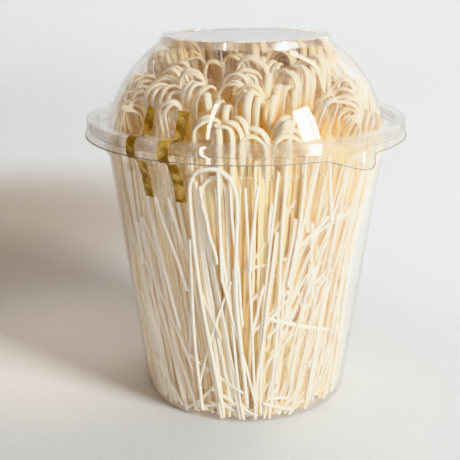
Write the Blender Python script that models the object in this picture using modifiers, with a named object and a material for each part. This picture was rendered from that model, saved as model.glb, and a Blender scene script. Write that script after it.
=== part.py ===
"""A clear cup with a domed lid, packed upright with dried noodles.

The noodles dried hanging over rods, so each bunch ends in tight bends, and those bends crowd
together under the dome. A strip of tape runs down the dome, over the lid's rim and onto the cup.

Metres, +Z up. The cup stands on z = 0 with its axis on the z axis, and its front faces -Y.
Azimuths are measured from the front towards +X.
"""

import math
import random

import bmesh
import bpy
from mathutils import Matrix, Vector

MM = 0.001
FULL_TURN = 2.0 * math.pi

# Turned pieces
FACETS = 60
MERGE = 0.00001
SHARP_DEGREES = 35.0

# Cup, outside sizes unless a name says otherwise
CUP_SHEET = 0.6 * MM
FOOT_RADIUS = 43.3 * MM
WALL_FLARE = 0.1203
FOOT_ROUNDING = 2.2 * MM
FOOT_RING_WIDTH = 6.0 * MM
FOOT_RECESS = 1.2 * MM
LEDGE_HEIGHT = 104.7 * MM
LEDGE_STEP = 1.3 * MM
LEDGE_RISE = 0.8 * MM
SHOULDER_HEIGHT = 110.6 * MM
CURL_INNER_RADIUS = 60.7 * MM
CURL_OUTER_RADIUS = 62.9 * MM
CURL_BOTTOM = 113.6 * MM
CURL_TOP = 117.4 * MM
CURL_ROUNDING = 0.4 * MM
SHOULDER_SPREAD = 0.6 * MM

# Lid
LID_SHEET = 0.5 * MM
LIP_RADIUS = 64.7 * MM
LIP_BOTTOM = 111.4 * MM
LIP_HEIGHT = 1.5 * MM
SKIRT_RADIUS = 64.0 * MM
RIM_TOP = 118.4 * MM
RIM_INNER_RADIUS = 59.7 * MM
RIM_SHOULDER = 1.3 * MM
GUTTER_FLOOR = 115.0 * MM
GUTTER_OUTER_RADIUS = 59.2 * MM
DOME_ARC_RADIUS = 47.5 * MM
DOME_ARC_CENTRE = (8.8 * MM, 106.3 * MM)
DOME_FOOT = 115.3 * MM
DOME_HEAD = 146.2 * MM
DOME_STEPS = 5
DOME_STEP_BIAS = 0.8
LID_TOP = 149.6 * MM
DISC_RADIUS = 33.2 * MM
DISC_RIM_WIDTH = 2.2 * MM
DISC_RECESS = 0.6 * MM

# Pull tab on the lid's rim
TAB_AZIMUTH = math.radians(36.0)
TAB_HALF_ANGLE = math.radians(12.0)
TAB_REACH = 7.4 * MM
TAB_DROOP = 1.6 * MM
TAB_CUTS = 2

# Seal tape
TAPE_AZIMUTH = math.radians(-32.0)
TAPE_WIDTH = 18.6 * MM
TAPE_SHEET = 0.2 * MM
TAPE_GAP = 0.35 * MM
TAPE_DOME_HEIGHTS = (127.0 * MM, 124.0 * MM, 121.0 * MM, 118.8 * MM)
TAPE_GUTTER_RISE = 1.6 * MM
TAPE_ROUNDING = 0.5 * MM
TAPE_TUCK = (4.2 * MM, 1.2 * MM)
TAPE_LEDGE_DROP = 2.4 * MM
TAPE_CUP_END = 94.8 * MM
TAPE_STRIPS_ACROSS = 4
TAPE_SHARP_DEGREES = 60.0

# Noodles
CORE_INSET = 1.9 * MM
CORE_BOTTOM = 2.3 * MM
CORE_FACETS = 32
CROWN_RINGS = 5
CROWN_START = 104.0 * MM
CROWN_TOP = 133.5 * MM
CROWN_ROUNDNESS = 2.4
BACK_RISE = 0.6
MOST_BACK_RISE = 11.5 * MM
BEND_COUNT = 36
BEND_FIELD_RADIUS = 44.5 * MM
BEND_RISE = 6.4 * MM
BEND_RISE_SCATTER = 0.6 * MM
BEND_CEILING = 147.6 * MM
BEND_RADII = (4.2 * MM, 4.8 * MM, 5.4 * MM)
BEND_LEG = 8.0 * MM
BEND_ARC_STEPS = 6
BEND_LEAN_SHARE = 0.45
INNER_FACING = math.radians(80.0)
OUTER_FACING = math.radians(30.0)
RIBBON_WIDTH = 2.5 * MM
RIBBON_THICKNESS = 1.3 * MM
STRAND_THICKNESS = 1.25 * MM
STRAND_SIDES = 5
STRAND_SINK = 0.3 * MM
STRAND_COUNT = 37
STRAND_LENGTHS = (76.0 * MM, 97.0 * MM)
STRAND_FOOT_LIFTS = (0.5 * MM, 1.5 * MM)
BROKEN_COUNT = 13
BROKEN_LENGTHS = (17.0 * MM, 32.0 * MM)
BROKEN_FOOT_LIFTS = (2.0 * MM, 60.0 * MM)
BROKEN_LEANS = (0.6, 0.95)
SPACING_SCATTER = 0.3
LARGEST_SIDE_RUN = 8.2 * MM
GOLDEN_ANGLE = math.pi * (3.0 - math.sqrt(5.0))
DRAW_SEED = 11

# Colours
CLEAR_PLASTIC = (0.93, 0.95, 0.95)
GOLD_INK = (0.42, 0.30, 0.09)
DRIED_NOODLE = (0.86, 0.76, 0.58)


def clear_scene():
    for obj in list(bpy.data.objects):
        bpy.data.objects.remove(obj, do_unlink=True)


def new_collection(name):
    collection = bpy.data.collections.new(name)
    bpy.context.scene.collection.children.link(collection)
    return collection


def material(name, colour, roughness, alpha=1.0):
    made = bpy.data.materials.new(name)
    made.use_nodes = True
    shader = made.node_tree.nodes["Principled BSDF"]
    shader.inputs["Base Color"].default_value = (*colour, 1.0)
    shader.inputs["Roughness"].default_value = roughness
    shader.inputs["Metallic"].default_value = 0.0
    shader.inputs["Alpha"].default_value = alpha
    made.diffuse_color = (*colour, alpha)
    return made


def add_object(name, mesh, collection, finish=None):
    obj = bpy.data.objects.new(name, mesh)
    collection.objects.link(obj)
    if finish:
        mesh.materials.append(finish)
    return obj


def smooth(obj, sharp_degrees=SHARP_DEGREES):
    obj.data.shade_smooth()
    obj.data.set_sharp_from_angle(angle=math.radians(sharp_degrees))


def evaluated_mesh(obj):
    """The mesh that an object's modifiers or bevel give, with coincident points welded."""
    depsgraph = bpy.context.evaluated_depsgraph_get()
    mesh = bpy.data.meshes.new_from_object(obj.evaluated_get(depsgraph))
    shape = bmesh.new()
    shape.from_mesh(mesh)
    bmesh.ops.remove_doubles(shape, verts=shape.verts, dist=MERGE)
    shape.to_mesh(mesh)
    shape.free()
    return mesh


def on_azimuth(radius, azimuth, height):
    return Vector((radius * math.sin(azimuth), -radius * math.cos(azimuth), height))


# ---------------------------------------------------------------- turned shells


def turned_surface(name, outline, collection, facets=FACETS):
    """An outline of (radius, height) points, run down its outer side, turned once round z."""
    mesh = bpy.data.meshes.new(name + " outline")
    points = [(radius, 0.0, height) for radius, height in outline]
    edges = [(i, i + 1) for i in range(len(points) - 1)]
    mesh.from_pydata(points, edges, [])
    profile = add_object(name + " outline", mesh, collection)
    screw = profile.modifiers.new("Turn", "SCREW")
    screw.axis = "Z"
    screw.angle = FULL_TURN
    screw.steps = facets
    screw.render_steps = facets
    screw.use_merge_vertices = True
    screw.merge_threshold = MERGE
    surface = evaluated_mesh(profile)
    surface.name = name
    bpy.data.objects.remove(profile, do_unlink=True)
    return surface


def thicken(obj, sheet, offset):
    solidify = obj.modifiers.new("Sheet", "SOLIDIFY")
    solidify.thickness = sheet
    solidify.offset = offset
    solidify.use_even_offset = True
    return solidify


def wall_radius(height):
    """The cup wall's outside, below the ledge."""
    return FOOT_RADIUS + WALL_FLARE * height


def cup_inner_outline():
    """The cup's inner face, from the outside of the rolled rim down to the middle of the floor."""
    ledge_radius = wall_radius(LEDGE_HEIGHT) - CUP_SHEET
    foot_top = wall_radius(FOOT_ROUNDING) - CUP_SHEET
    ring_outer = foot_top - FOOT_ROUNDING + CUP_SHEET
    ring_inner = ring_outer - FOOT_RING_WIDTH
    return [
        (CURL_OUTER_RADIUS, CURL_BOTTOM),
        (CURL_OUTER_RADIUS - CURL_ROUNDING, CURL_TOP - CURL_ROUNDING),
        (CURL_INNER_RADIUS + CURL_ROUNDING, CURL_TOP),
        (CURL_INNER_RADIUS, CURL_BOTTOM + CURL_ROUNDING),
        (ledge_radius + LEDGE_STEP + SHOULDER_SPREAD, SHOULDER_HEIGHT),
        (ledge_radius + LEDGE_STEP, LEDGE_HEIGHT + LEDGE_RISE),
        (ledge_radius, LEDGE_HEIGHT),
        (foot_top, FOOT_ROUNDING),
        (ring_outer, CUP_SHEET),
        (ring_inner, CUP_SHEET),
        (ring_inner - FOOT_RECESS, CUP_SHEET + FOOT_RECESS),
        (0.0, CUP_SHEET + FOOT_RECESS),
    ]


def make_cup(collection, finish):
    cup = add_object("cup", turned_surface("cup", cup_inner_outline(), collection), collection, finish)
    thicken(cup, CUP_SHEET, 1.0)
    smooth(cup)
    return cup


def dome_radius(height):
    centre_radius, centre_height = DOME_ARC_CENTRE
    rise = height - centre_height
    return centre_radius + math.sqrt(DOME_ARC_RADIUS**2 - rise**2)


def lid_outline():
    """The lid's upper face, from the middle of the top disc out and down to the skirt's lip."""
    disc_inner = DISC_RADIUS - DISC_RIM_WIDTH
    outline = [
        (0.0, LID_TOP - DISC_RECESS),
        (disc_inner - DISC_RECESS, LID_TOP - DISC_RECESS),
        (disc_inner, LID_TOP),
        (DISC_RADIUS, LID_TOP),
    ]
    for step in range(DOME_STEPS + 1):
        height = DOME_HEAD + (DOME_FOOT - DOME_HEAD) * (step / DOME_STEPS) ** DOME_STEP_BIAS
        outline.append((dome_radius(height), height))
    outline += [
        (GUTTER_OUTER_RADIUS, GUTTER_FLOOR),
        (RIM_INNER_RADIUS, RIM_TOP),
        (SKIRT_RADIUS - RIM_SHOULDER, RIM_TOP),
        (SKIRT_RADIUS, RIM_TOP - RIM_SHOULDER),
        (SKIRT_RADIUS, LIP_BOTTOM + LIP_HEIGHT),
        (LIP_RADIUS, LIP_BOTTOM),
    ]
    return outline


def tab_turn(point):
    """Where a point's azimuth lies across the tab: -1 and 1 at its sides, 0 at its middle."""
    return (math.atan2(point.x, -point.y) - TAB_AZIMUTH) / TAB_HALF_ANGLE


def on_tab(edge):
    """Whether an edge runs round the rim, from its inner edge outwards, within the tab."""
    ends = [vertex.co for vertex in edge.verts]
    level = abs(ends[0].z - ends[1].z) < MERGE
    middle = (ends[0] + ends[1]) / 2
    return level and middle.xy.length > GUTTER_OUTER_RADIUS and abs(tab_turn(middle)) < 1.0


def pull_tab(mesh):
    """Draws the rim and its skirt outwards, and a little down, round the tab's azimuth."""
    shape = bmesh.new()
    shape.from_mesh(mesh)
    rim_edges = [edge for edge in shape.edges if on_tab(edge)]
    bmesh.ops.subdivide_edges(shape, edges=rim_edges, cuts=TAB_CUTS, use_grid_fill=True)
    for vertex in shape.verts:
        radius = vertex.co.xy.length
        turn = tab_turn(vertex.co)
        if radius < (RIM_INNER_RADIUS + SKIRT_RADIUS) / 2 or abs(turn) >= 1.0:
            continue
        share = math.cos(turn * math.pi / 2) ** 2
        vertex.co.xy *= 1.0 + share * TAB_REACH / radius
        vertex.co.z -= share * TAB_DROOP
    shape.to_mesh(mesh)
    shape.free()


def make_lid(collection, finish):
    surface = turned_surface("lid", lid_outline(), collection)
    pull_tab(surface)
    lid = add_object("lid", surface, collection, finish)
    thicken(lid, LID_SHEET, -1.0)
    smooth(lid)
    return lid


# ---------------------------------------------------------------- seal tape


def tape_path():
    """(radius, height) points of the tape's inner face, from the dome down to the cup wall."""
    path = [(dome_radius(height) + TAPE_GAP, height) for height in TAPE_DOME_HEIGHTS]
    gutter_middle = (dome_radius(GUTTER_FLOOR) + GUTTER_OUTER_RADIUS) / 2
    over_rim = RIM_TOP + TAPE_GAP
    past_lip = LIP_RADIUS + TAPE_GAP
    tuck_in, tuck_down = TAPE_TUCK
    ledge_radius = wall_radius(LEDGE_HEIGHT)
    path += [
        (gutter_middle, GUTTER_FLOOR + TAPE_GUTTER_RISE),
        (RIM_INNER_RADIUS - TAPE_ROUNDING, over_rim - TAPE_ROUNDING),
        (RIM_INNER_RADIUS, over_rim),
        (SKIRT_RADIUS - RIM_SHOULDER, over_rim),
        (past_lip, RIM_TOP - RIM_SHOULDER),
        (past_lip, LIP_BOTTOM - TAPE_GAP),
        (SKIRT_RADIUS - tuck_in, LIP_BOTTOM - tuck_down),
        (ledge_radius + LEDGE_STEP + TAPE_ROUNDING, LEDGE_HEIGHT),
        (ledge_radius + 2 * TAPE_GAP, LEDGE_HEIGHT - TAPE_LEDGE_DROP),
        (wall_radius(TAPE_CUP_END) + TAPE_GAP, TAPE_CUP_END),
    ]
    return path


def make_seal(collection, finish):
    """A strip of even width laid across the tape's azimuth, thickened outwards."""
    shape = bmesh.new()
    rows = []
    for radius, height in tape_path():
        row = []
        for column in range(TAPE_STRIPS_ACROSS + 1):
            across = TAPE_WIDTH * (column / TAPE_STRIPS_ACROSS - 0.5)
            azimuth = TAPE_AZIMUTH + across / radius
            row.append(shape.verts.new(on_azimuth(radius, azimuth, height)))
        rows.append(row)
    for upper, lower in zip(rows, rows[1:]):
        for column in range(TAPE_STRIPS_ACROSS):
            corners = (upper[column], lower[column], lower[column + 1], upper[column + 1])
            shape.faces.new(corners)
    mesh = bpy.data.meshes.new("seal")
    shape.to_mesh(mesh)
    shape.free()
    seal = add_object("seal", mesh, collection, finish)
    thicken(seal, TAPE_SHEET, 1.0)
    smooth(seal, TAPE_SHARP_DEGREES)
    return seal


# ---------------------------------------------------------------- noodles


def core_radius(height):
    """The packed core's side, inside the cup wall."""
    return wall_radius(height) - CUP_SHEET - CORE_INSET


def crown_height(radius):
    """The crown of the core above a distance from the axis."""
    share = min(radius / core_radius(CROWN_START), 1.0)
    return CROWN_START + (CROWN_TOP - CROWN_START) * math.sqrt(1.0 - share**CROWN_ROUNDNESS)


def back_rise(y, height):
    """How much higher than in front the crown lies behind the axis, where it is high."""
    share = max((height - CROWN_START) / (CROWN_TOP - CROWN_START), 0.0)
    return min(BACK_RISE * max(y, 0.0), MOST_BACK_RISE) * share**2


def crown_slope(radius):
    """How far the crown falls away from level, in radians."""
    drop = crown_height(radius) - crown_height(radius + MM)
    return math.atan2(drop, MM)


def core_outline():
    """The core, from the top of its crown down its side to the middle of its foot."""
    shoulder = core_radius(CROWN_START)
    outline = []
    for ring in range(CROWN_RINGS + 1):
        radius = shoulder * math.sin(ring / CROWN_RINGS * math.pi / 2)
        outline.append((radius, crown_height(radius)))
    outline.append((core_radius(CORE_BOTTOM), CORE_BOTTOM))
    outline.append((0.0, CORE_BOTTOM))
    return outline


def ribbon_bend(radius):
    """One noodle's bend and its two legs, as a flat ribbon in its own XY plane, opening down."""
    curve = bpy.data.curves.new("bend", "CURVE")
    curve.dimensions = "3D"
    curve.bevel_depth = RIBBON_THICKNESS / 2
    curve.bevel_resolution = 0
    curve.extrude = (RIBBON_WIDTH - RIBBON_THICKNESS) / 2
    curve.use_fill_caps = True
    points = [(-radius, -BEND_LEG, 0.0)]
    for step in range(BEND_ARC_STEPS + 1):
        angle = math.pi * (1.0 - step / BEND_ARC_STEPS)
        points.append((radius * math.cos(angle), radius * math.sin(angle), 0.0))
    points.append((radius, -BEND_LEG, 0.0))
    spline = curve.splines.new("POLY")
    spline.points.add(len(points) - 1)
    for place, point in zip(spline.points, points):
        place.co = (*point, 1.0)
    guide = bpy.data.objects.new("bend", curve)
    bpy.context.scene.collection.objects.link(guide)
    mesh = evaluated_mesh(guide)
    bpy.data.objects.remove(guide, do_unlink=True)
    return mesh


def place_bends(draw, pieces):
    """Bends spread over the crown on a spiral, leaning out with its slope."""
    meshes = [ribbon_bend(radius) for radius in BEND_RADII]
    for index in range(BEND_COUNT):
        share = math.sqrt((index + 0.5) / BEND_COUNT)
        field_radius = BEND_FIELD_RADIUS * share
        azimuth = index * GOLDEN_ANGLE
        size = index % len(meshes)
        lean = BEND_LEAN_SHARE * crown_slope(field_radius)
        outward = on_azimuth(1.0, azimuth, 0.0)
        upward = outward * math.sin(lean) + Vector((0.0, 0.0, math.cos(lean)))
        most = INNER_FACING + (OUTER_FACING - INNER_FACING) * share**2
        facing = Matrix.Rotation(draw.uniform(-most, most), 3, upward)
        spread = facing @ upward.cross(outward)
        rise = BEND_RISE + draw.uniform(-BEND_RISE_SCATTER, BEND_RISE_SCATTER)
        rise -= BEND_RADII[size] + RIBBON_THICKNESS / 2
        foot = on_azimuth(field_radius, azimuth, crown_height(field_radius))
        foot.z = min(foot.z + back_rise(foot.y, foot.z), BEND_CEILING - BEND_RISE - BEND_RISE_SCATTER)
        bend = add_object("bend", meshes[size], pieces)
        bend.matrix_world = placed(foot + upward * rise, spread, upward, spread.cross(upward))


def placed(origin, x_axis, y_axis, z_axis):
    """The matrix that sets a shape's own axes along three directions, at an origin."""
    turn = Matrix((x_axis.normalized(), y_axis.normalized(), z_axis.normalized()))
    return Matrix.Translation(origin) @ turn.transposed().to_4x4()


def rod_mesh(length):
    shape = bmesh.new()
    bmesh.ops.create_cone(
        shape,
        cap_ends=True,
        segments=STRAND_SIDES,
        radius1=STRAND_THICKNESS / 2,
        radius2=STRAND_THICKNESS / 2,
        depth=length,
    )
    mesh = bpy.data.meshes.new("strand")
    shape.to_mesh(mesh)
    shape.free()
    return mesh


def place_rod(pieces, azimuth, middle, length, lean):
    """A straight noodle against the wall: it lies in the wall's tangent plane at its middle."""
    outward = on_azimuth(1.0, azimuth, 0.0)
    sideways = Vector((math.cos(azimuth), math.sin(azimuth), 0.0))
    up_wall = (Vector((0.0, 0.0, 1.0)) + outward * WALL_FLARE).normalized()
    along = up_wall * math.cos(lean) + sideways * math.sin(lean)
    depth = up_wall.cross(sideways)
    centre = on_azimuth(core_radius(middle) + STRAND_SINK, azimuth, middle)
    rod = add_object("strand", rod_mesh(length), pieces)
    rod.matrix_world = placed(centre, depth, along.cross(depth), along)


def spaced_azimuth(draw, index, count):
    """Even spacing round the cup, with some scatter."""
    return FULL_TURN * (index + draw.uniform(-SPACING_SCATTER, SPACING_SCATTER)) / count


def most_lean(length):
    """How far a straight noodle can lean before its ends meet the round wall."""
    return math.asin(min(2 * LARGEST_SIDE_RUN / length, 1.0))


def place_strands(draw, pieces):
    """Long noodles all round the wall, each leaning a little to one side."""
    for index in range(STRAND_COUNT):
        azimuth = spaced_azimuth(draw, index, STRAND_COUNT)
        length = draw.uniform(*STRAND_LENGTHS)
        middle = CORE_BOTTOM + length / 2 + draw.uniform(*STRAND_FOOT_LIFTS)
        place_rod(pieces, azimuth, middle, length, draw.uniform(-1.0, 1.0) * most_lean(length))


def place_broken(draw, pieces):
    """Short broken noodles that lie askew across the long ones."""
    for index in range(BROKEN_COUNT):
        azimuth = spaced_azimuth(draw, index, BROKEN_COUNT)
        length = draw.uniform(*BROKEN_LENGTHS)
        lean = draw.choice((-1.0, 1.0)) * draw.uniform(*BROKEN_LEANS) * most_lean(length)
        middle = CORE_BOTTOM + length / 2 + draw.uniform(*BROKEN_FOOT_LIFTS)
        place_rod(pieces, azimuth, middle, length, lean)


def keep_largest_body(mesh):
    """Drops loose scraps, and the walls of any hollow that the union closed."""
    shape = bmesh.new()
    shape.from_mesh(mesh)
    unseen = set(shape.verts)
    bodies = []
    while unseen:
        body = {unseen.pop()}
        frontier = list(body)
        while frontier:
            vertex = frontier.pop()
            neighbours = {edge.other_vert(vertex) for edge in vertex.link_edges} & unseen
            unseen -= neighbours
            body |= neighbours
            frontier += neighbours
        bodies.append(body)
    largest = max(bodies, key=len)
    loose = [vertex for vertex in shape.verts if vertex not in largest]
    bmesh.ops.delete(shape, geom=loose, context="VERTS")
    bmesh.ops.triangulate(shape, faces=shape.faces)
    shape.to_mesh(mesh)
    shape.free()


def fuse(core, pieces):
    """One Boolean union of the core with every piece, applied."""
    union = core.modifiers.new("Fuse", "BOOLEAN")
    union.operation = "UNION"
    union.operand_type = "COLLECTION"
    union.collection = pieces
    union.solver = "EXACT"
    fused = evaluated_mesh(core)
    core.modifiers.remove(union)
    keep_largest_body(fused)
    core.data = fused
    for piece in list(pieces.objects):
        bpy.data.objects.remove(piece, do_unlink=True)
    bpy.data.collections.remove(pieces)


def make_somen(collection, finish):
    """The whole bundle as one body: a core with the noodles that show fused onto it."""
    draw = random.Random(DRAW_SEED)
    mesh = turned_surface("somen", core_outline(), collection, CORE_FACETS)
    for vertex in mesh.vertices:
        vertex.co.z += back_rise(vertex.co.y, vertex.co.z)
    somen = add_object("somen", mesh, collection, finish)
    pieces = new_collection("Noodles to fuse")
    place_bends(draw, pieces)
    place_strands(draw, pieces)
    place_broken(draw, pieces)
    fuse(somen, pieces)
    smooth(somen)
    return somen


def main():
    clear_scene()
    parts = new_collection("Lidded cup of dried noodles")
    clear_plastic = material("clear plastic", CLEAR_PLASTIC, roughness=0.08, alpha=0.25)
    gold_tape = material("clear tape with gold edges", GOLD_INK, roughness=0.3)
    dried_noodle = material("dried noodle", DRIED_NOODLE, roughness=0.6)
    make_cup(parts, clear_plastic)
    make_lid(parts, clear_plastic)
    make_seal(parts, gold_tape)
    make_somen(parts, dried_noodle)


main()
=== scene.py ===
"""Looks of a clear lidded cup packed upright with dried somen noodles.

Metres, +Z up, in the frame's own axes: the cup stands on z = 0 with its axis on the z axis and
its front faces -Y. Azimuths are measured from the front towards +X. Lengths are named in
millimetres and turned into metres by MM.
"""

import math

import bpy
import numpy as np
from mathutils import Matrix, Vector


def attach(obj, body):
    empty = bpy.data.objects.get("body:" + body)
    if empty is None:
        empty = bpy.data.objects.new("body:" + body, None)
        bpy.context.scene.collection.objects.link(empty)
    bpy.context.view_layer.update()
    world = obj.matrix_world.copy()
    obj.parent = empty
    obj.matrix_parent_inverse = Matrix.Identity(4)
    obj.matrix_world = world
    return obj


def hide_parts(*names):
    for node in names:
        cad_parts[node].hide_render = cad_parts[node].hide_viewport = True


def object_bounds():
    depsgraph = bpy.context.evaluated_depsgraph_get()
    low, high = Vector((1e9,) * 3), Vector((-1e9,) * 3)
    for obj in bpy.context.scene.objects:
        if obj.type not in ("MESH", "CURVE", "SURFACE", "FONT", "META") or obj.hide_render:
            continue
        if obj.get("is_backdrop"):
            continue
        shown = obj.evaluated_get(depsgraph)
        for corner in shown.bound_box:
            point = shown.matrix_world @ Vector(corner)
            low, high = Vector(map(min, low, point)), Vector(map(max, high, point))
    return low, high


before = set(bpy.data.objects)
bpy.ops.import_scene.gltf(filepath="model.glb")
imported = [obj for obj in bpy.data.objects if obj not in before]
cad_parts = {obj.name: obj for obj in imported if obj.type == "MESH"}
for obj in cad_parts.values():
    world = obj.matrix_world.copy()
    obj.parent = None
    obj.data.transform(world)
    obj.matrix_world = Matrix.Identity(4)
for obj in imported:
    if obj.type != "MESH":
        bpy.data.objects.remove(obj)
cad_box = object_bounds()

MM = 0.001
FULL_TURN = 2.0 * math.pi

# Camera, at the photo's angle
CAMERA_PLACE = (0.0, -331.5 * MM, 176.9 * MM)
CAMERA_PITCH = math.radians(18.21)
CAMERA_YAW = math.radians(-1.122)
CAMERA_ROLL = math.radians(-0.295)
CAMERA_LENS = 64.08
CAMERA_SENSOR = 36.0

# Turned pieces
ROUND_STEPS = 360
CORNER_STEPS = 8
MERGE = 0.00001
CREASE = math.radians(40.0)

# Cup, outside sizes unless a name says otherwise
CUP_SHEET = 0.6 * MM
FOOT_RADIUS = 43.3 * MM
WALL_FLARE = 0.1203
FOOT_ROUNDING = 2.2 * MM
FOOT_RING_WIDTH = 6.0 * MM
FOOT_RECESS = 1.2 * MM
RECESS_ROUNDING = 0.6 * MM
LEDGE_HEIGHT = 104.7 * MM
LEDGE_STEP = 1.3 * MM
LEDGE_RISE = 0.8 * MM
LEDGE_ROUNDING = 1.0 * MM
SHOULDER_HEIGHT = 110.6 * MM
SHOULDER_SPREAD = 0.6 * MM
SHOULDER_ROUNDING = 2.5 * MM
CURL_INNER_RADIUS = 60.7 * MM
CURL_OUTER_RADIUS = 62.9 * MM
CURL_BOTTOM = 113.6 * MM
CURL_TOP = 117.4 * MM
CURL_ROUNDING = 1.0 * MM
CURL_FOOT_ROUNDING = 1.2 * MM

# Lid
LID_SHEET = 0.5 * MM
LIP_RADIUS = 64.7 * MM
LIP_BOTTOM = 111.4 * MM
LIP_HEIGHT = 3.0 * MM
LIP_ROUNDING = 6.0 * MM
SKIRT_RADIUS = 64.0 * MM
RIM_TOP = 118.4 * MM
RIM_INNER_RADIUS = 59.7 * MM
RIM_INNER_ROUNDING = 0.7 * MM
RIM_SHOULDER = 1.3 * MM
GUTTER_FLOOR = 115.0 * MM
GUTTER_OUTER_RADIUS = 59.2 * MM
GUTTER_ROUNDING = 0.6 * MM
DOME_ARC_RADIUS = 47.5 * MM
DOME_ARC_CENTRE = (8.8 * MM, 106.3 * MM)
DOME_FOOT = 115.3 * MM
DOME_FOOT_ROUNDING = 0.4 * MM
DOME_HEAD = 146.2 * MM
DOME_STEPS = 44
DOME_SPACING = 0.8
LID_TOP = 149.6 * MM
COLLAR_ROUNDING = 0.7 * MM
DISC_RADIUS = 33.2 * MM
DISC_RIM_WIDTH = 2.2 * MM
DISC_RECESS = 0.6 * MM
DISC_ROUNDING = 0.5 * MM

# Pull tab on the lid's rim
TAB_AZIMUTH = math.radians(36.0)
TAB_HALF_ANGLE = math.radians(12.0)
TAB_REACH = 7.4 * MM
TAB_DROOP = 2.8 * MM
TAB_ROOT = 60.6 * MM
TAB_FULL = 62.7 * MM

# Seal tape
TAPE_AZIMUTH = math.radians(-32.0)
TAPE_WIDTH = 18.6 * MM
TAPE_SHEET = 0.12 * MM
TAPE_GAP = 0.35 * MM
TAPE_DOME_HEIGHTS = (127.0 * MM, 124.0 * MM, 121.0 * MM, 118.8 * MM)
TAPE_GUTTER_RISE = 1.6 * MM
TAPE_ROUNDING = 0.5 * MM
TAPE_TUCK = (4.2 * MM, 1.2 * MM)
TAPE_LEDGE_DROP = 2.4 * MM
TAPE_CUP_END = 94.8 * MM
TAPE_CUTS = 3
TAPE_CUT_SHARE = 0.25
TAPE_ROW = 0.35 * MM
TAPE_COLUMNS = 56
BAND_WIDTH = 4.3 * MM
WRINKLE_DEPTH = 0.16 * MM

# Noodles
DRAW_SEED = 11
STRAND_WIDTH = 1.22 * MM
RIBBON_WIDTH = 2.8 * MM
RIBBON_THICKNESS = 1.3 * MM
NOODLE_SIDES = 8
RIBBON_SIDES = 10
SQUARENESS = 0.75
END_BULGE = 0.35
NOODLE_CREASE = math.radians(50.0)
WALL_GAP = 0.15 * MM
LID_GAP = 0.3 * MM
SIDE_GAP = (1.4 * MM, 2.6 * MM)
SIDE_GAP_HEIGHTS = (55.0 * MM, 108.0 * MM)
SIDE_GAP_AT_FOOT = 0.15
SIDE_GAP_TURN = math.radians(8.0)

CORE_DEPTH = 5.5 * MM
CORE_BOTTOM = 2.3 * MM
CORE_CROWN_TOP = 124.0 * MM
CORE_CROWN_START = 98.0 * MM
CROWN_SHOULDER = 53.3 * MM
CROWN_START = 104.0 * MM
CROWN_TOP = 133.5 * MM
CROWN_ROUNDNESS = 2.4
BACK_RISE = 0.5
MOST_BACK_RISE = 7.5 * MM
FOOT_HEIGHT = 1.2 * MM

# Bunches of bends that face the front: the azimuth in degrees and the distance from
# the axis in mm of their place on the crown, the azimuth that their drying rod pointed to, the
# number of ribbons, the bend's radius in mm and how far in mm they stand above the rest
FRONT_BUNCHES = (
    (-113, 34.8, 55, 4, 5.2, 1.5), (-118, 25.0, -10, 2, 5.2, -4.0), (-70, 13.3, 15, 2, 4.0, 0),
    (-104, 3.2, -25, 3, 5.0, 0), (-46, 27.5, 0, 2, 4.6, 0), (-51, 37.4, 35, 4, 5.4, 0),
    (-28, 35.6, 40, 3, 5.0, 0), (-19, 40.5, 85, 1, 4.4, 0), (-13, 41.4, 80, 1, 4.6, 0),
    (-8, 44.0, 70, 1, 4.4, 0), (-7, 29.6, -30, 4, 5.0, 0), (7, 15.7, -20, 4, 5.4, 0),
    (2, 38.2, 0, 2, 5.6, 0), (5, 40.6, 75, 2, 5.0, 0), (14, 40.3, 80, 1, 4.6, 0),
    (23, 34.4, 72, 4, 5.0, 0), (36, 27.7, -38, 3, 5.4, 0), (60, 27.0, -42, 5, 6.2, 2.7),
    (92, 31.9, -20, 2, 4.4, 0), (78, 38.2, -10, 2, 5.0, 0), (58, 43.4, -8, 3, 6.6, 0.4),
    (59, 45.4, 4, 2, 4.6, -1.2), (57, 46.8, 20, 2, 3.2, -2.4), (56, 47.6, 28, 2, 2.0, -3.8),
    (42, 43.6, 25, 2, 2.8, 0.6), (78, 50.4, 30, 2, 4.6, 0), (19, 47.8, 60, 3, 5.4, 0),
    (17, 51.0, 10, 2, 5.6, 0), (3, 51.0, -10, 2, 5.0, 0), (-6, 49.4, -50, 3, 5.2, 0),
    (-16, 47.6, 15, 2, 5.2, 0), (-11, 50.4, 80, 1, 4.4, 0), (-91, 40.9, 20, 3, 5.6, 0),
    (-68, 41.2, -15, 2, 5.0, 0), (-70, 43.8, 5, 3, 6.2, 0), (-68, 46.2, 12, 2, 4.2, -1.4),
    (-103, 41.6, 60, 2, 4.4, 0.8), (-36, 44.7, 10, 2, 4.0, 0), (-65, 49.6, 20, 2, 5.0, 0),
    (45, 13.5, 65, 3, 5.0, 0),
)
BUNCH_CLEARANCE = 9.0 * MM
BUNCH_RISE = 6.4 * MM
BUNCH_RISE_SCATTER = 1.0 * MM
BUNCH_LEAN_SHARE = 0.22
BUNCH_LEG = 15.0 * MM
BUNCH_OUTER_LEG = 18.0 * MM
OUTER_LEG_POWER = 5

# Bunches over the rest of the crown, on a spiral
GOLDEN_ANGLE = math.pi * (3.0 - math.sqrt(5.0))
SPIRAL_COUNT = 62
SPIRAL_RADIUS = 48.0 * MM
SPIRAL_ROD_TURN = math.radians(75.0)
SPIRAL_RIBBONS = (2, 6)
SPIRAL_BENDS = (4.4 * MM, 6.2 * MM)
BACK_STAND = 4.0 * MM
BACK_STAND_REACH = 20.0 * MM

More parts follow.
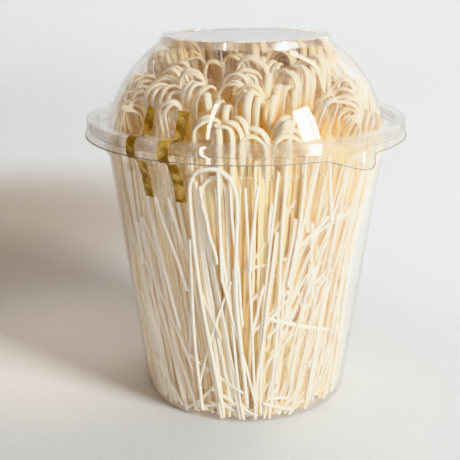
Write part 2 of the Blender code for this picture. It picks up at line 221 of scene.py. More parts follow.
# Bunches under the edge of the lid's disc at the back: their azimuths in degrees
BACK_ROW = (100, 116, 133, 150, 168, -174, -157, -140, -123, -106)
BACK_ROW_DISTANCE = 30.5 * MM
BACK_ROW_SCATTER = 2.0 * MM
BACK_ROW_TURN = 0.9
BACK_ROW_RIBBONS = 5
BACK_ROW_BENDS = (4.2 * MM, 5.6 * MM)
BACK_ROW_ABOVE = 4.0 * MM
BACK_ROW_MORE = 2.5 * MM

# Noodles that stand out against the wall in front: azimuth in degrees and height in mm of the head,
# and the same of the foot
FRONT_STRANDS = (
    (-32, 95, -11.5, 39), (-53, 68, -28, 23), (-39, 95, -26.5, 58), (-10, 107, -10, 64),
    (-10, 64, 6, 8), (-6, 105, -1, 45), (-17, 94, -12, 71), (5, 102, 2, 68),
    (23, 112, 19, 61), (29, 112, 21.5, 70), (32.5, 112, 38, 84), (36, 87, 21, 76),
    (32, 67, 8.5, 44), (39, 64, 10.5, 39.5), (24, 40, 11, 28), (-29, 29, -1, 14),
    (-17, 15, 6, 3), (17, 18, 14, 13.5), (12, 11, 23, 10), (9, 9, 28, 3),
    (25, 34, 23, 9), (-39, 40, -27, 3), (-56, 21, -37, 3), (-55, 95, -53, 64),
    (-23, 80, -24, 4), (-64, 92, -46, 14), (-50, 84, -36, 6), (-44, 100, -33, 40),
    (-70, 60, -52, 3), (-60, 50, -42, 3),
)
# Noodles that bend along the wall in front, each how deep it lies in mm and then azimuths and heights:
# two wide bends under the flange, from foot to foot, and one that lies across the others
WALL_NOODLES = (
    (0.0, (
        (-13, 9), (-20, 55), (-22, 93), (-20, 104.5), (-14, 107.6),
        (-9, 107), (-5, 103), (-3, 93), (-4, 58), (1, 9),
    )),
    (1.3, (
        (-8, 9), (-15, 50), (-18.6, 88), (-17.4, 99), (-13, 104),
        (-9, 102.6), (-7, 95), (-7, 60), (-3, 9),
    )),
    (0.9, ((9, 48), (22, 44), (36, 39.5), (50, 35))),
)


def on_azimuth(radius, azimuth, height):
    """The point, or points, at a distance from the axis, round the cup and above the table."""
    radius, azimuth, height = np.broadcast_arrays(radius, azimuth, height)
    return np.stack((radius * np.sin(azimuth), -radius * np.cos(azimuth), height), axis=-1)


def unit(vectors):
    return vectors / np.linalg.norm(vectors, axis=-1, keepdims=True)


def smooth(share):
    """The share, from 0 to 1, with a gentle start and end."""
    return share**2 * (3.0 - 2.0 * share)


def curve_between(start, leave, end, arrive, share):
    """A smooth curve from start to end, which leaves and arrives along given directions."""
    return (
        (2 * share**3 - 3 * share**2 + 1) * start
        + (share**3 - 2 * share**2 + share) * leave
        + (3 * share**2 - 2 * share**3) * end
        + (share**3 - share**2) * arrive
    )


# ---------------------------------------------------------------- shader maths


# How many finer layers a noise has
SOFT_DETAIL = 1.0
PLAIN_DETAIL = 2.0
FINE_DETAIL = 3.0


class Value:
    """A number that varies over a surface: sums on it become maths nodes."""

    def __init__(self, finish, socket):
        self.finish = finish
        self.socket = socket

    def maths(self, operation, *others):
        sockets = dict(enumerate((self, *others)))
        made = self.finish.node("ShaderNodeMath", {"operation": operation}, sockets)
        return Value(self.finish, made.outputs[0])

    def flipped(self, operation, other):
        """The operation with this value second."""
        made = self.finish.node("ShaderNodeMath", {"operation": operation}, {0: other, 1: self})
        return Value(self.finish, made.outputs[0])

    def __add__(self, other):
        return self.maths("ADD", other)

    __radd__ = __add__

    def __sub__(self, other):
        return self.maths("SUBTRACT", other)

    def __rsub__(self, other):
        return self.flipped("SUBTRACT", other)

    def __mul__(self, other):
        return self.maths("MULTIPLY", other)

    __rmul__ = __mul__

    def __truediv__(self, other):
        return self.maths("DIVIDE", other)

    def __pow__(self, power):
        return self.maths("POWER", power)

    def __lt__(self, other):
        return self.maths("LESS_THAN", other)

    def __gt__(self, other):
        return self.maths("GREATER_THAN", other)

    def size(self):
        return self.maths("ABSOLUTE")

    def least(self, other):
        return self.maths("MINIMUM", other)

    def most(self, other):
        return self.maths("MAXIMUM", other)

    def wrapped(self, period):
        """Counts round from 0 to the period."""
        return self.maths("WRAP", period, 0.0)

    def step(self, start, end):
        """0 before the start, 1 past the end and a smooth slope between."""
        settings = {"interpolation_type": "SMOOTHSTEP"}
        sockets = {"Value": self, "From Min": start, "From Max": end}
        return Value(self.finish, self.finish.node("ShaderNodeMapRange", settings, sockets).outputs[0])


class Finish:
    """A material being made, or the nodes of another tree."""

    def __init__(self, name, tree=None):
        if tree is None:
            self.material = bpy.data.materials.new(name)
            self.material.use_nodes = True
            tree = self.material.node_tree
        self.tree = tree
        self.tree.nodes.clear()

    def node(self, kind, settings=None, sockets=None):
        """Adds a node: its settings first, then the values or links of its sockets."""
        made = self.tree.nodes.new(kind)
        for name, setting in (settings or {}).items():
            setattr(made, name, setting)
        for name, value in (sockets or {}).items():
            self.feed(made.inputs[name], value)
        return made

    def feed(self, socket, value):
        if isinstance(value, Value):
            value = value.socket
        if isinstance(value, bpy.types.NodeSocket):
            self.tree.links.new(value, socket)
        elif socket.type == "RGBA":
            socket.default_value = (*value[:3], 1.0)
        else:
            socket.default_value = value

    def value(self, socket):
        return Value(self, socket)

    def mix(self, share, first, second):
        """One colour turning into another as the share goes from 0 to 1."""
        sockets = {0: share, 6: first, 7: second}
        return self.node("ShaderNodeMix", {"data_type": "RGBA"}, sockets).outputs[2]

    def place(self):
        """Where a point is, in metres."""
        return self.node("ShaderNodeNewGeometry").outputs["Position"]

    def parts(self, vector):
        split = self.node("ShaderNodeSeparateXYZ", sockets={0: vector})
        return [self.value(socket) for socket in split.outputs]

    def round_the_axis(self):
        """Where a point is: x, y, its height and its distance from the axis."""
        x, y, height = self.parts(self.place())
        return x, y, height, (x * x + y * y) ** 0.5

    def stretched(self, vector, scales):
        settings = {"operation": "MULTIPLY"}
        return self.node("ShaderNodeVectorMath", settings, {0: vector, 1: scales}).outputs[0]

    def noise(self, vector, scale, detail=PLAIN_DETAIL):
        sockets = {"Vector": vector, "Scale": scale, "Detail": detail}
        return self.value(self.node("ShaderNodeTexNoise", sockets=sockets).outputs[0])

    def attribute(self, name):
        return self.value(self.node("ShaderNodeAttribute", {"attribute_name": name}).outputs["Fac"])

    def hemmed_in(self, reach):
        """How far a point's own piece closes it in, up to a distance: 0 is free and 1 is shut in."""
        settings = {"only_local": True, "samples": CREVICE_SAMPLES}
        made = self.node("ShaderNodeAmbientOcclusion", settings, {"Distance": reach})
        return 1.0 - self.value(made.outputs["AO"]).step(*CREVICE_OPENNESS)

    def bump(self, height, depth, strength=1.0):
        sockets = {"Height": height, "Distance": depth, "Strength": strength}
        return self.node("ShaderNodeBump", sockets=sockets).outputs[0]

    def blend(self, share, first, second):
        """One shader turning into another as the share goes from 0 to 1."""
        return self.node("ShaderNodeMixShader", sockets={0: share, 1: first, 2: second}).outputs[0]

    def shader(self, kind, sockets):
        return self.node("ShaderNodeBsdf" + kind, sockets=sockets).outputs[0]

    def finished(self, shader):
        self.node("ShaderNodeOutputMaterial", sockets={"Surface": shader})
        return self.material


# ---------------------------------------------------------------- finishes

CLEAR_TINT = (0.99, 0.99, 0.99)
# Painted shade of the bundle's inside: a lighter and a darker gold
CORE_GOLD = (0.96, 0.79, 0.46)
CORE_SHADE = (0.89, 0.68, 0.34)
# Painted tan shade on the noodles under the lid's disc
UNDER_LID_SHADE = (0.73, 0.52, 0.28)

# The two kinds of noodle: their outer ivory, a warmer one, the gold of the painted shade deep in the
# bundle and the depths between which it turns to it, how near a crevice's sides are, how much painted
# gold shade it gets there, and how much of the painted shade turns pale at the right, where light falls
STRAIGHT_NOODLE = {
    "pale": (0.94, 0.865, 0.75),
    "warm": (0.93, 0.82, 0.66),
    "painted_shade_gold": (0.965, 0.80, 0.47),
    "shade_depths": (1.3 * MM, 3.9 * MM),
    "crevice": 3.0 * MM,
    "crevice_shade_share": 0.48,
    "lit_right_paler": 0.0,
}
# The bends' ivories are darker copies of the straight noodles' ones: painted shade
NOODLE_BEND = {
    "pale": (0.82, 0.715, 0.56),
    "warm": (0.81, 0.68, 0.49),
    "painted_shade_gold": (0.93, 0.69, 0.28),
    "shade_depths": (4.0 * MM, 12.0 * MM),
    "crevice": 4.5 * MM,
    "crevice_shade_share": 0.75,
    "lit_right_paler": 0.6,
}
BLOTCH_STRETCH = (1.0, 1.0, 0.25)
BLOTCH_SCALE = 160.0
BLOTCH_SHARE = 0.4
# How the painted crevice shade reads how shut in a point is
CREVICE_SAMPLES = 6
CREVICE_OPENNESS = (0.25, 0.85)
# Where the painted tan shade under the lid lies, how strong it is and how much it evens out the painted gold
# shade
UNDER_LID_HEIGHTS = (135.5 * MM, 141.0 * MM)
UNDER_LID_DEPTHS = (-14.0 * MM, 2.0 * MM)
UNDER_LID_SHARE = 0.9
UNDER_LID_EVEN = 0.8
# Where the painted gold shade turns pale at the right, where the light falls
RIGHT_SIDE = (12.0 * MM, 50.0 * MM)
GRAIN_STRETCH = (1.0, 1.0, 0.12)
GRAIN_SCALE = 2600.0
GRAIN_DEPTH = 0.04 * MM
GRAIN_STRENGTH = 0.5
NOODLE_ROUGHNESS = 0.42
GRAIN_ROUGHNESS = 0.2
NOODLE_IOR = 1.45


def depth_in_bundle(finish):
    """How deep a point lies under the bundle's side or crown, in metres."""
    x, y, height, radius = finish.round_the_axis()
    usual, more_at_right = SIDE_GAP
    low, high = SIDE_GAP_HEIGHTS
    sideways = (x * math.cos(SIDE_GAP_TURN) + y * math.sin(SIDE_GAP_TURN)) / radius
    low_down = height.step(0.0, low) * (1.0 - SIDE_GAP_AT_FOOT) + SIDE_GAP_AT_FOOT
    gap = (x / radius * more_at_right + usual) * sideways * sideways
    gap = gap * (1.0 - height.step(low, high)) * low_down
    side = height * WALL_FLARE + (FOOT_RADIUS - CUP_SHEET) - radius - gap
    share = (radius / CROWN_SHOULDER).least(1.0)
    rounding = (1.0 - share**CROWN_ROUNDNESS) ** 0.5
    behind = (y * BACK_RISE).most(0.0).least(MOST_BACK_RISE)
    crown = rounding * (CROWN_TOP - CROWN_START) + rounding * rounding * behind
    return side.least(crown + (CROWN_START + BUNCH_RISE) - height)


def dried_noodle(name, pale, warm, painted_shade_gold, shade_depths, crevice, crevice_shade_share, lit_right_paler):
    """Smooth dry wheat noodle: ivory outside, with painted shade, gold deep down and in crevices and tan
    under the lid.
    """
    finish = Finish(name)
    place = finish.place()
    blotch = finish.noise(finish.stretched(place, BLOTCH_STRETCH), BLOTCH_SCALE, FINE_DETAIL)
    tone = finish.attribute("tone") * (1.0 - BLOTCH_SHARE) + blotch * BLOTCH_SHARE
    ivory = finish.mix(tone, pale, warm)
    x, y, height = finish.parts(place)
    # Painted shade: tan under the lid, gold deep in the bundle and in crevices, the gold paler at the right
    lid_shade = height.step(*UNDER_LID_HEIGHTS) * y.step(*UNDER_LID_DEPTHS) * UNDER_LID_SHARE
    ivory = finish.mix(lid_shade, ivory, UNDER_LID_SHADE)
    painted_shade_gold = finish.mix(x.step(*RIGHT_SIDE) * lit_right_paler, painted_shade_gold, pale)
    gold = depth_in_bundle(finish).step(*shade_depths)
    deep = 1.0 - (1.0 - gold) * (1.0 - finish.hemmed_in(crevice) * crevice_shade_share)
    grain = finish.noise(finish.stretched(place, GRAIN_STRETCH), GRAIN_SCALE)
    sockets = {
        "Base Color": finish.mix(deep * (1.0 - lid_shade * UNDER_LID_EVEN), ivory, painted_shade_gold),
        "Roughness": NOODLE_ROUGHNESS + grain * GRAIN_ROUGHNESS,
        "IOR": NOODLE_IOR,
        "Normal": finish.bump(grain, GRAIN_DEPTH, GRAIN_STRENGTH),
    }
    return finish.finished(finish.shader("Principled", sockets))


STREAK_STRETCH = (1.0, 1.0, 0.02)
STREAK_SCALE = 420.0
STREAK_SHARE = 0.75
STREAK_DEPTH = 0.5 * MM
STREAK_STRENGTH = 0.6
CLOUD_SCALE = 45.0
CORE_CONTRAST = (0.35, 0.65)
CORE_ROUGHNESS = 0.75


def packed_depth():
    """Painted shade of the bundle's inside: gold, streaked by the noodles that stand in it."""
    finish = Finish("packed depth")
    place = finish.place()
    streak = finish.noise(finish.stretched(place, STREAK_STRETCH), STREAK_SCALE, FINE_DETAIL)
    cloud = finish.noise(place, CLOUD_SCALE)
    shade = (streak * STREAK_SHARE + cloud * (1.0 - STREAK_SHARE)).step(*CORE_CONTRAST)
    sockets = {
        "Base Color": finish.mix(shade, CORE_SHADE, CORE_GOLD),
        "Roughness": CORE_ROUGHNESS,
        "Normal": finish.bump(streak, STREAK_DEPTH, STREAK_STRENGTH),
    }
    return finish.finished(finish.shader("Principled", sockets))


SHEET_CLEARNESS = 0.998
SHEET_IOR = 1.5
SHEET_ROUGHNESS = 0.008
WAVE_SCALE = 30.0
WAVE_DEPTH = 0.03 * MM
# The collar, between the dome and the lid's disc, is slightly hazy under its gloss
COLLAR_FOOT = (DOME_HEAD, DOME_HEAD + 0.5 * MM)
COLLAR_HEAD = (LID_TOP - 1.0 * MM, LID_TOP - 0.7 * MM)
COLLAR_HAZE = 0.25
COLLAR_COAT_ROUGHNESS = 0.02
COLLAR_BENDING = 0.3
# How much the film mirrors: straight on, and how much more and how steeply towards grazing angles
FILM_MIRROR = 0.018
FILM_GRAZING = (0.6, 6.5)
DISC_GRAZING = (1.3, 3.0)
GRAZING_TINT = (0.93, 0.922, 0.91)
GRAZING_TINT_POWER = 6.0
GLOSS_ROUGHNESS = 0.012
FILM_SHARE = 0.8
FOOT_FILM_SHARE = 0.2
FOOT_FILM_HEIGHTS = (2.0 * MM, 7.0 * MM)
# The lid's skirt mirrors as if it leaned outwards by this slope
SKIRT_LEAN = 0.36
SKIRT_START = (CURL_OUTER_RADIUS + 0.05 * MM, CURL_OUTER_RADIUS + 0.3 * MM)
# Painted dark shade on the sheet's cut edge, and where along the cut attribute it fades in
EDGE_SHADE = (0.30, 0.25, 0.21)
CUT_BLUR = (0.7, 0.95)


def clear_plastic(name, edge_share):
    """Thin formed sheet: clear, glossy, a little wavy, with soft pale edges and painted dark shade on its
    cut edge.

    Where the sheet is too thin for its bending of light to show, it is a film that only mirrors.
    """
    finish = Finish(name)
    *_, height, radius = finish.round_the_axis()
    wave = finish.noise(finish.place(), WAVE_SCALE, SOFT_DETAIL)
    disc = height.step(*COLLAR_HEAD)
    collar = height.step(*COLLAR_FOOT) * (1.0 - disc)
    sockets = {
        "Base Color": CLEAR_TINT,
        "Roughness": collar * COLLAR_HAZE + SHEET_ROUGHNESS,
        "IOR": SHEET_IOR,
        "Transmission Weight": SHEET_CLEARNESS,
        "Coat Weight": collar,
        "Coat Roughness": COLLAR_COAT_ROUGHNESS,
        "Normal": finish.bump(wave, WAVE_DEPTH),
    }
    sheet = finish.shader("Principled", sockets)
    facing = finish.value(finish.node("ShaderNodeLayerWeight").outputs["Facing"])
    straight_on = finish.shader("Transparent", {"Color": CLEAR_TINT})
    grazed = finish.shader("Transparent", {"Color": GRAZING_TINT})
    film = finish.blend(facing**GRAZING_TINT_POWER, straight_on, grazed)
    lean = radius.step(*SKIRT_START) * (RIM_TOP - height) * SKIRT_LEAN
    sockets = {"Roughness": GLOSS_ROUGHNESS, "Normal": finish.bump(wave * WAVE_DEPTH + lean, 1.0)}
    gloss = finish.shader("Glossy", sockets)
    more, power = FILM_GRAZING
    disc_more, disc_power = DISC_GRAZING
    mirror = facing**power * more + disc * facing**disc_power * disc_more + FILM_MIRROR
    film = finish.blend(mirror, film, gloss)
    thin = (1.0 - height.step(*FOOT_FILM_HEIGHTS)) * FOOT_FILM_SHARE + FILM_SHARE
    clear = finish.blend(thin * (1.0 - collar * COLLAR_BENDING), sheet, film)
    edge_shade = finish.shader("Diffuse", {"Color": EDGE_SHADE})
    cut = finish.blend(finish.attribute("cut").step(*CUT_BLUR) * edge_share, clear, edge_shade)
    through = finish.shader("Transparent", {"Color": CLEAR_TINT})
    path = finish.node("ShaderNodeLightPath").outputs
    lamps = finish.value(path["Is Shadow Ray"]).most(path["Is Diffuse Ray"])
    return finish.finished(finish.blend(lamps, cut, through))


GOLD_LIGHT = (0.74, 0.46, 0.12)
GOLD_DARK = (0.26, 0.12, 0.012)
GOLD_CONTRAST = (0.35, 0.7)
WEAR_SCALE = 300.0
FILM_PALE = (0.95, 0.90, 0.86)
MARK_PALE = (0.74, 0.62, 0.36)
BAND_BLUR = 0.1 * MM
MARK_SPACING = 6.5 * MM
MARK_SIZE = 1.0 * MM
MARK_HOLE = 0.72 * MM
CREASE_SCALE = 420.0
CREASE_CONTRAST = (0.52, 0.72)
CREASE_DEPTH = 0.15 * MM
CREASE_STRENGTH = 0.6
FILM_ALPHA = 0.06
CREASE_ALPHA = 0.2
BAND_ALPHA = 0.86
BAND_METAL = 0.2
TAPE_ROUGHNESS = 0.3


def sealing_film():
    """Clear film with a printed gold band along each edge and small pale diamonds on the bands."""
    finish = Finish("sealing film")
    from_edge = TAPE_WIDTH / 2 - finish.attribute("across").size()
    band = 1.0 - from_edge.step(BAND_WIDTH - BAND_BLUR, BAND_WIDTH + BAND_BLUR)
    mark_across = (from_edge - BAND_WIDTH / 2).size()
    mark_along = (finish.attribute("along").wrapped(MARK_SPACING) - MARK_SPACING / 2).size()
    rings = mark_across + mark_along
    mark = (rings < MARK_SIZE) * (rings > MARK_HOLE) * band
    wear = finish.noise(finish.place(), WEAR_SCALE, FINE_DETAIL)
    gold = finish.mix(wear.step(*GOLD_CONTRAST), GOLD_DARK, GOLD_LIGHT)
    printed = finish.mix(mark, gold, MARK_PALE)
    crease = finish.noise(finish.place(), CREASE_SCALE)
    creased = crease.step(*CREASE_CONTRAST) * CREASE_ALPHA * (1.0 - band)
    sockets = {
        "Base Color": finish.mix(band, FILM_PALE, printed),
        "Metallic": band * BAND_METAL,
        "Roughness": TAPE_ROUGHNESS,
        "Alpha": band * BAND_ALPHA + FILM_ALPHA + creased,
        "Normal": finish.bump(crease, CREASE_DEPTH, CREASE_STRENGTH),
    }
    return finish.finished(finish.shader("Principled", sockets))


FLOOR_PALE = (0.61, 0.60, 0.595)
FLOOR_CLOUD = (0.64, 0.63, 0.625)
# Painted light: the floor paler behind the cup, more so at the right
FLOOR_LIT_BEHIND = (0.85, 0.85, 0.855)
BEHIND = (-0.02, 0.26)
BEHIND_RIGHT = 0.4
# Soft patches painted on the floor: middle, reach and colour. The first is a painted shadow and the second a
# painted pool of light
FLOOR_PATCHES = (
    ((-0.19, 0.22), (0.24, 0.19), (0.53, 0.44, 0.37)),
    ((-0.09, 0.02), (0.10, 0.09), (0.86, 0.79, 0.73)),
)
PATCH_EDGE = (0.2, 1.2)
BACKDROP_PALE = (0.88, 0.895, 0.915)
BACKDROP_DISTANCES = (0.4, 1.1)
# Painted shade on the backdrop at the left, dark and warm
BACKDROP_LEFT_SHADE = (0.50, 0.415, 0.345)
LEFT_DISTANCES = (0.5, 1.0)
# The backdrop on the camera side: pale low down and darker high up, as painted shade
CAMERA_SIDE_LOW = (0.95, 0.91, 0.87)
CAMERA_SIDE_HIGH_SHADE = (0.38, 0.36, 0.34)
CAMERA_SIDE_HEIGHTS = (0.3, 0.8)
CAMERA_SIDE_DISTANCES = (0.1, 0.6)
FLOOR_CLOUD_SCALE = 3.0
FLOOR_GRAIN_SCALE = 900.0
FLOOR_GRAIN_DEPTH = 0.3 * MM
FLOOR_GRAIN_STRENGTH = 0.4
FLOOR_ROUGHNESS = 0.9


def pale_floor():
    """Pale floor, painted brighter behind the cup at the right and with painted warm shade at the left."""
    finish = Finish("pale floor")
    x, y, height, away = finish.round_the_axis()
    cloud = finish.noise(finish.place(), FLOOR_CLOUD_SCALE, FINE_DETAIL)
    grain = finish.noise(finish.place(), FLOOR_GRAIN_SCALE)
    floor = finish.mix(cloud, FLOOR_PALE, FLOOR_CLOUD)
    floor = finish.mix((y + x * BEHIND_RIGHT).step(*BEHIND), floor, FLOOR_LIT_BEHIND)
    # Painted shadow and painted pool of light
    for (middle_x, middle_y), (reach_x, reach_y), colour in FLOOR_PATCHES:
        aside = (x - middle_x) / reach_x
        back = (y - middle_y) / reach_y
        inside = 1.0 - ((aside * aside + back * back) ** 0.5).step(*PATCH_EDGE)
        floor = finish.mix(inside, floor, colour)
    # Painted shade on the backdrop: at the left and high up on the camera side
    camera_side = finish.mix(height.step(*CAMERA_SIDE_HEIGHTS), CAMERA_SIDE_LOW, CAMERA_SIDE_HIGH_SHADE)
    far = finish.mix((0.0 - x).step(*LEFT_DISTANCES), BACKDROP_PALE, BACKDROP_LEFT_SHADE)
    far = finish.mix((0.0 - y).step(*CAMERA_SIDE_DISTANCES), far, camera_side)
    sockets = {
        "Base Color": finish.mix(away.step(*BACKDROP_DISTANCES), floor, far),
        "Roughness": FLOOR_ROUGHNESS,
        "Normal": finish.bump(grain, FLOOR_GRAIN_DEPTH, FLOOR_GRAIN_STRENGTH),
    }
    return finish.finished(finish.shader("Principled", sockets))


# ---------------------------------------------------------------- meshes


def mesh_object(name, points, faces, finish):
    mesh = bpy.data.meshes.new(name)
    mesh.from_pydata(points, [], faces)
    mesh.materials.append(finish)
    mesh.shade_smooth()
    obj = bpy.data.objects.new(name, mesh)
    bpy.context.scene.collection.objects.link(obj)
    return obj


def add_attribute(obj, name, numbers):
    """Keeps a number for each vertex, which a finish reads."""
    layer = obj.data.attributes.new(name, "FLOAT", "POINT")
    layer.data.foreach_set("value", np.ravel(numbers).astype(np.float32))


def applied(obj):
    """The object with its modifiers made part of its mesh."""
    depsgraph = bpy.context.evaluated_depsgraph_get()
    mesh = bpy.data.meshes.new_from_object(obj.evaluated_get(depsgraph))
    obj.modifiers.clear()
    obj.data = mesh
    return obj


# The most of an outline's side that a corner's rounding may take
ROUNDING_SHARE = 0.48


def rounded(corners):
    """An outline of (radius, height, rounding) corners, each rounded corner turned into a short curve."""
    outline = [corners[0][:2]]
    for before, corner, after in zip(corners, corners[1:], corners[2:]):
        here = np.array(corner[:2])
        back = np.array(before[:2]) - here
        ahead = np.array(after[:2]) - here
        if corner[2] == 0.0:
            outline.append(tuple(here))
            continue
        back_length = np.linalg.norm(back)
        ahead_length = np.linalg.norm(ahead)
        turn = math.acos(np.clip(back @ ahead / (back_length * ahead_length), -1.0, 1.0))
        room = ROUNDING_SHARE * min(back_length, ahead_length)
        reach = min(corner[2] / math.tan(turn / 2), room)
        start = here + back / back_length * reach
        end = here + ahead / ahead_length * reach
        for step in range(CORNER_STEPS + 1):
            share = step / CORNER_STEPS
            bend = start * (1 - share) ** 2 + 2 * here * share * (1 - share) + end * share**2
            outline.append(tuple(bend))
    outline.append(corners[-1][:2])
    return np.array(outline)


def turned(name, outline, finish):
    """An outline turned once round the z axis. A point on the axis becomes one vertex.

    The attribute "cut" is 1 along the outline's free end.
    """
    azimuths = np.arange(ROUND_STEPS) / ROUND_STEPS * FULL_TURN
    points = []
    rows = []
    for radius, height in outline:
        first = len(points)
        if radius < MERGE:
            points.append((0.0, 0.0, height))
            rows.append([first] * ROUND_STEPS)
        else:
            points.extend(on_azimuth(radius, azimuths, height).tolist())
            rows.append(list(range(first, first + ROUND_STEPS)))
    faces = []
    for upper, lower in zip(rows, rows[1:]):
        for step in range(ROUND_STEPS):
            after = (step + 1) % ROUND_STEPS
            ring = (upper[step], lower[step], lower[after], upper[after])
            faces.append(tuple(dict.fromkeys(ring)))
    obj = mesh_object(name, points, faces, finish)
    cut = np.zeros(len(points))
    cut[rows[-1] if outline[0][0] < MERGE else rows[0]] = 1.0
    add_attribute(obj, "cut", cut)
    return obj


def thicken(obj, sheet, offset):
    solidify = obj.modifiers.new("Sheet", "SOLIDIFY")
    solidify.thickness = sheet
    solidify.offset = offset
    solidify.use_even_offset = True
    applied(obj)
    obj.data.set_sharp_from_angle(angle=CREASE)
    return obj


# ---------------------------------------------------------------- cup and lid


def wall_radius(height):
    """The cup wall's outside, below the ledge."""
    return FOOT_RADIUS + WALL_FLARE * height


def dome_radius(height):
    """The dome's outside."""
    centre_radius, centre_height = DOME_ARC_CENTRE
    rise = height - centre_height
    return centre_radius + math.sqrt(DOME_ARC_RADIUS**2 - rise**2)


def make_cup(finish):
    """The cup's inner face turned round its axis and thickened outwards."""
    ledge = wall_radius(LEDGE_HEIGHT) - CUP_SHEET
    foot_top = wall_radius(FOOT_ROUNDING) - CUP_SHEET
    ring_outer = foot_top - FOOT_ROUNDING + CUP_SHEET
    ring_inner = ring_outer - FOOT_RING_WIDTH
    corners = [
        (CURL_OUTER_RADIUS, CURL_BOTTOM, 0.0),
        (CURL_OUTER_RADIUS, CURL_TOP, CURL_ROUNDING),
        (CURL_INNER_RADIUS, CURL_TOP, CURL_ROUNDING),
        (CURL_INNER_RADIUS, CURL_BOTTOM, CURL_FOOT_ROUNDING),
        (ledge + LEDGE_STEP + SHOULDER_SPREAD, SHOULDER_HEIGHT, SHOULDER_ROUNDING),
        (ledge + LEDGE_STEP, LEDGE_HEIGHT + LEDGE_RISE, LEDGE_ROUNDING),
        (ledge, LEDGE_HEIGHT, LEDGE_ROUNDING),
        (foot_top + MM * WALL_FLARE, FOOT_ROUNDING + MM, 0.0),
        (wall_radius(0.0) - CUP_SHEET, CUP_SHEET, FOOT_ROUNDING),
        (ring_inner, CUP_SHEET, RECESS_ROUNDING),
        (ring_inner - FOOT_RECESS, CUP_SHEET + FOOT_RECESS, RECESS_ROUNDING),
        (0.0, CUP_SHEET + FOOT_RECESS, 0.0),
    ]
    cup = turned("cup_clear", rounded(corners), finish)
    return thicken(cup, CUP_SHEET, 1.0)


def lid_outline():
    disc_inner = DISC_RADIUS - DISC_RIM_WIDTH
    corners = [
        (0.0, LID_TOP - DISC_RECESS, 0.0),
        (disc_inner - DISC_RECESS, LID_TOP - DISC_RECESS, DISC_ROUNDING),
        (disc_inner, LID_TOP, DISC_ROUNDING),
        (DISC_RADIUS, LID_TOP, COLLAR_ROUNDING),
        (dome_radius(DOME_HEAD), DOME_HEAD, COLLAR_ROUNDING),
    ]
    for step in range(1, DOME_STEPS + 1):
        height = DOME_HEAD + (DOME_FOOT - DOME_HEAD) * (step / DOME_STEPS) ** DOME_SPACING
        corners.append((dome_radius(height), height, 0.0))
    corners += [
        (dome_radius(DOME_FOOT) + DOME_FOOT_ROUNDING, GUTTER_FLOOR, DOME_FOOT_ROUNDING),
        (GUTTER_OUTER_RADIUS, GUTTER_FLOOR, GUTTER_ROUNDING),
        (RIM_INNER_RADIUS, RIM_TOP, RIM_INNER_ROUNDING),
        (SKIRT_RADIUS, RIM_TOP, RIM_SHOULDER),
        (SKIRT_RADIUS, LIP_BOTTOM + LIP_HEIGHT, LIP_ROUNDING),
        (LIP_RADIUS, LIP_BOTTOM, 0.0),
    ]
    return rounded(corners)


def pull_tab(mesh):
    """Draws the rim and its skirt outwards, and a little down, round the tab's azimuth."""
    for vertex in mesh.vertices:
        x, y, _ = vertex.co
        radius = math.hypot(x, y)
        turn = (math.atan2(x, -y) - TAB_AZIMUTH) / TAB_HALF_ANGLE
        if radius < TAB_ROOT or abs(turn) >= 1.0:
            continue
        share = math.cos(turn * math.pi / 2) ** 2
        share *= min((radius - TAB_ROOT) / (TAB_FULL - TAB_ROOT), 1.0)
        vertex.co.xy *= 1.0 + share * TAB_REACH / radius
        vertex.co.z -= share * TAB_DROOP


def make_lid(finish):
    lid = turned("lid_clear", lid_outline(), finish)
    pull_tab(lid.data)
    return thicken(lid, LID_SHEET, -1.0)


# ---------------------------------------------------------------- seal tape


def tape_corners():
    """(radius, height) corners of the tape's inner face, from the dome down to the cup wall."""
    path = [(dome_radius(height) + TAPE_GAP, height) for height in TAPE_DOME_HEIGHTS]
    gutter_middle = (dome_radius(GUTTER_FLOOR) + GUTTER_OUTER_RADIUS) / 2
    over_rim = RIM_TOP + TAPE_GAP
    past_lip = LIP_RADIUS + TAPE_GAP
    tuck_in, tuck_down = TAPE_TUCK
    ledge = wall_radius(LEDGE_HEIGHT)
    path += [
        (gutter_middle, GUTTER_FLOOR + TAPE_GUTTER_RISE),
        (RIM_INNER_RADIUS - TAPE_ROUNDING, over_rim - TAPE_ROUNDING),
        (RIM_INNER_RADIUS, over_rim),
        (SKIRT_RADIUS - RIM_SHOULDER, over_rim),
        (past_lip, RIM_TOP - RIM_SHOULDER),
        (past_lip, LIP_BOTTOM - TAPE_GAP),
        (SKIRT_RADIUS - tuck_in, LIP_BOTTOM - tuck_down),
        (ledge + LEDGE_STEP + TAPE_ROUNDING, LEDGE_HEIGHT),
        (ledge + 2 * TAPE_GAP, LEDGE_HEIGHT - TAPE_LEDGE_DROP),
        (wall_radius(TAPE_CUP_END) + TAPE_GAP, TAPE_CUP_END),
    ]
    return np.array(path)


def cut_corners(path):
    """The path with each corner replaced by two points, a quarter of the way along its sides."""
    first = path[:-1] * (1.0 - TAPE_CUT_SHARE) + path[1:] * TAPE_CUT_SHARE
    second = path[:-1] * TAPE_CUT_SHARE + path[1:] * (1.0 - TAPE_CUT_SHARE)
    middle = np.stack((first, second), axis=1).reshape(-1, 2)
    return np.concatenate((path[:1], middle[1:-1], path[-1:]))


def evenly_spaced(path, spacing):
    """The path's points at an even spacing, and how far along each one is."""
    steps = np.linalg.norm(np.diff(path, axis=0), axis=1)
    travelled = np.concatenate(([0.0], np.cumsum(steps)))
    along = np.linspace(0.0, travelled[-1], round(travelled[-1] / spacing) + 1)
    spaced = np.stack([np.interp(along, travelled, path[:, axis]) for axis in range(2)], axis=1)
    return spaced, along


# Two ripples of the film: their length and strength, and how they sway across it
RIPPLES = (
    (1.9 * MM, 1.0, 4.1 * MM, 2.2, 0.0),
    (1.1 * MM, 0.6, 5.3 * MM, -3.1, 1.0),
)


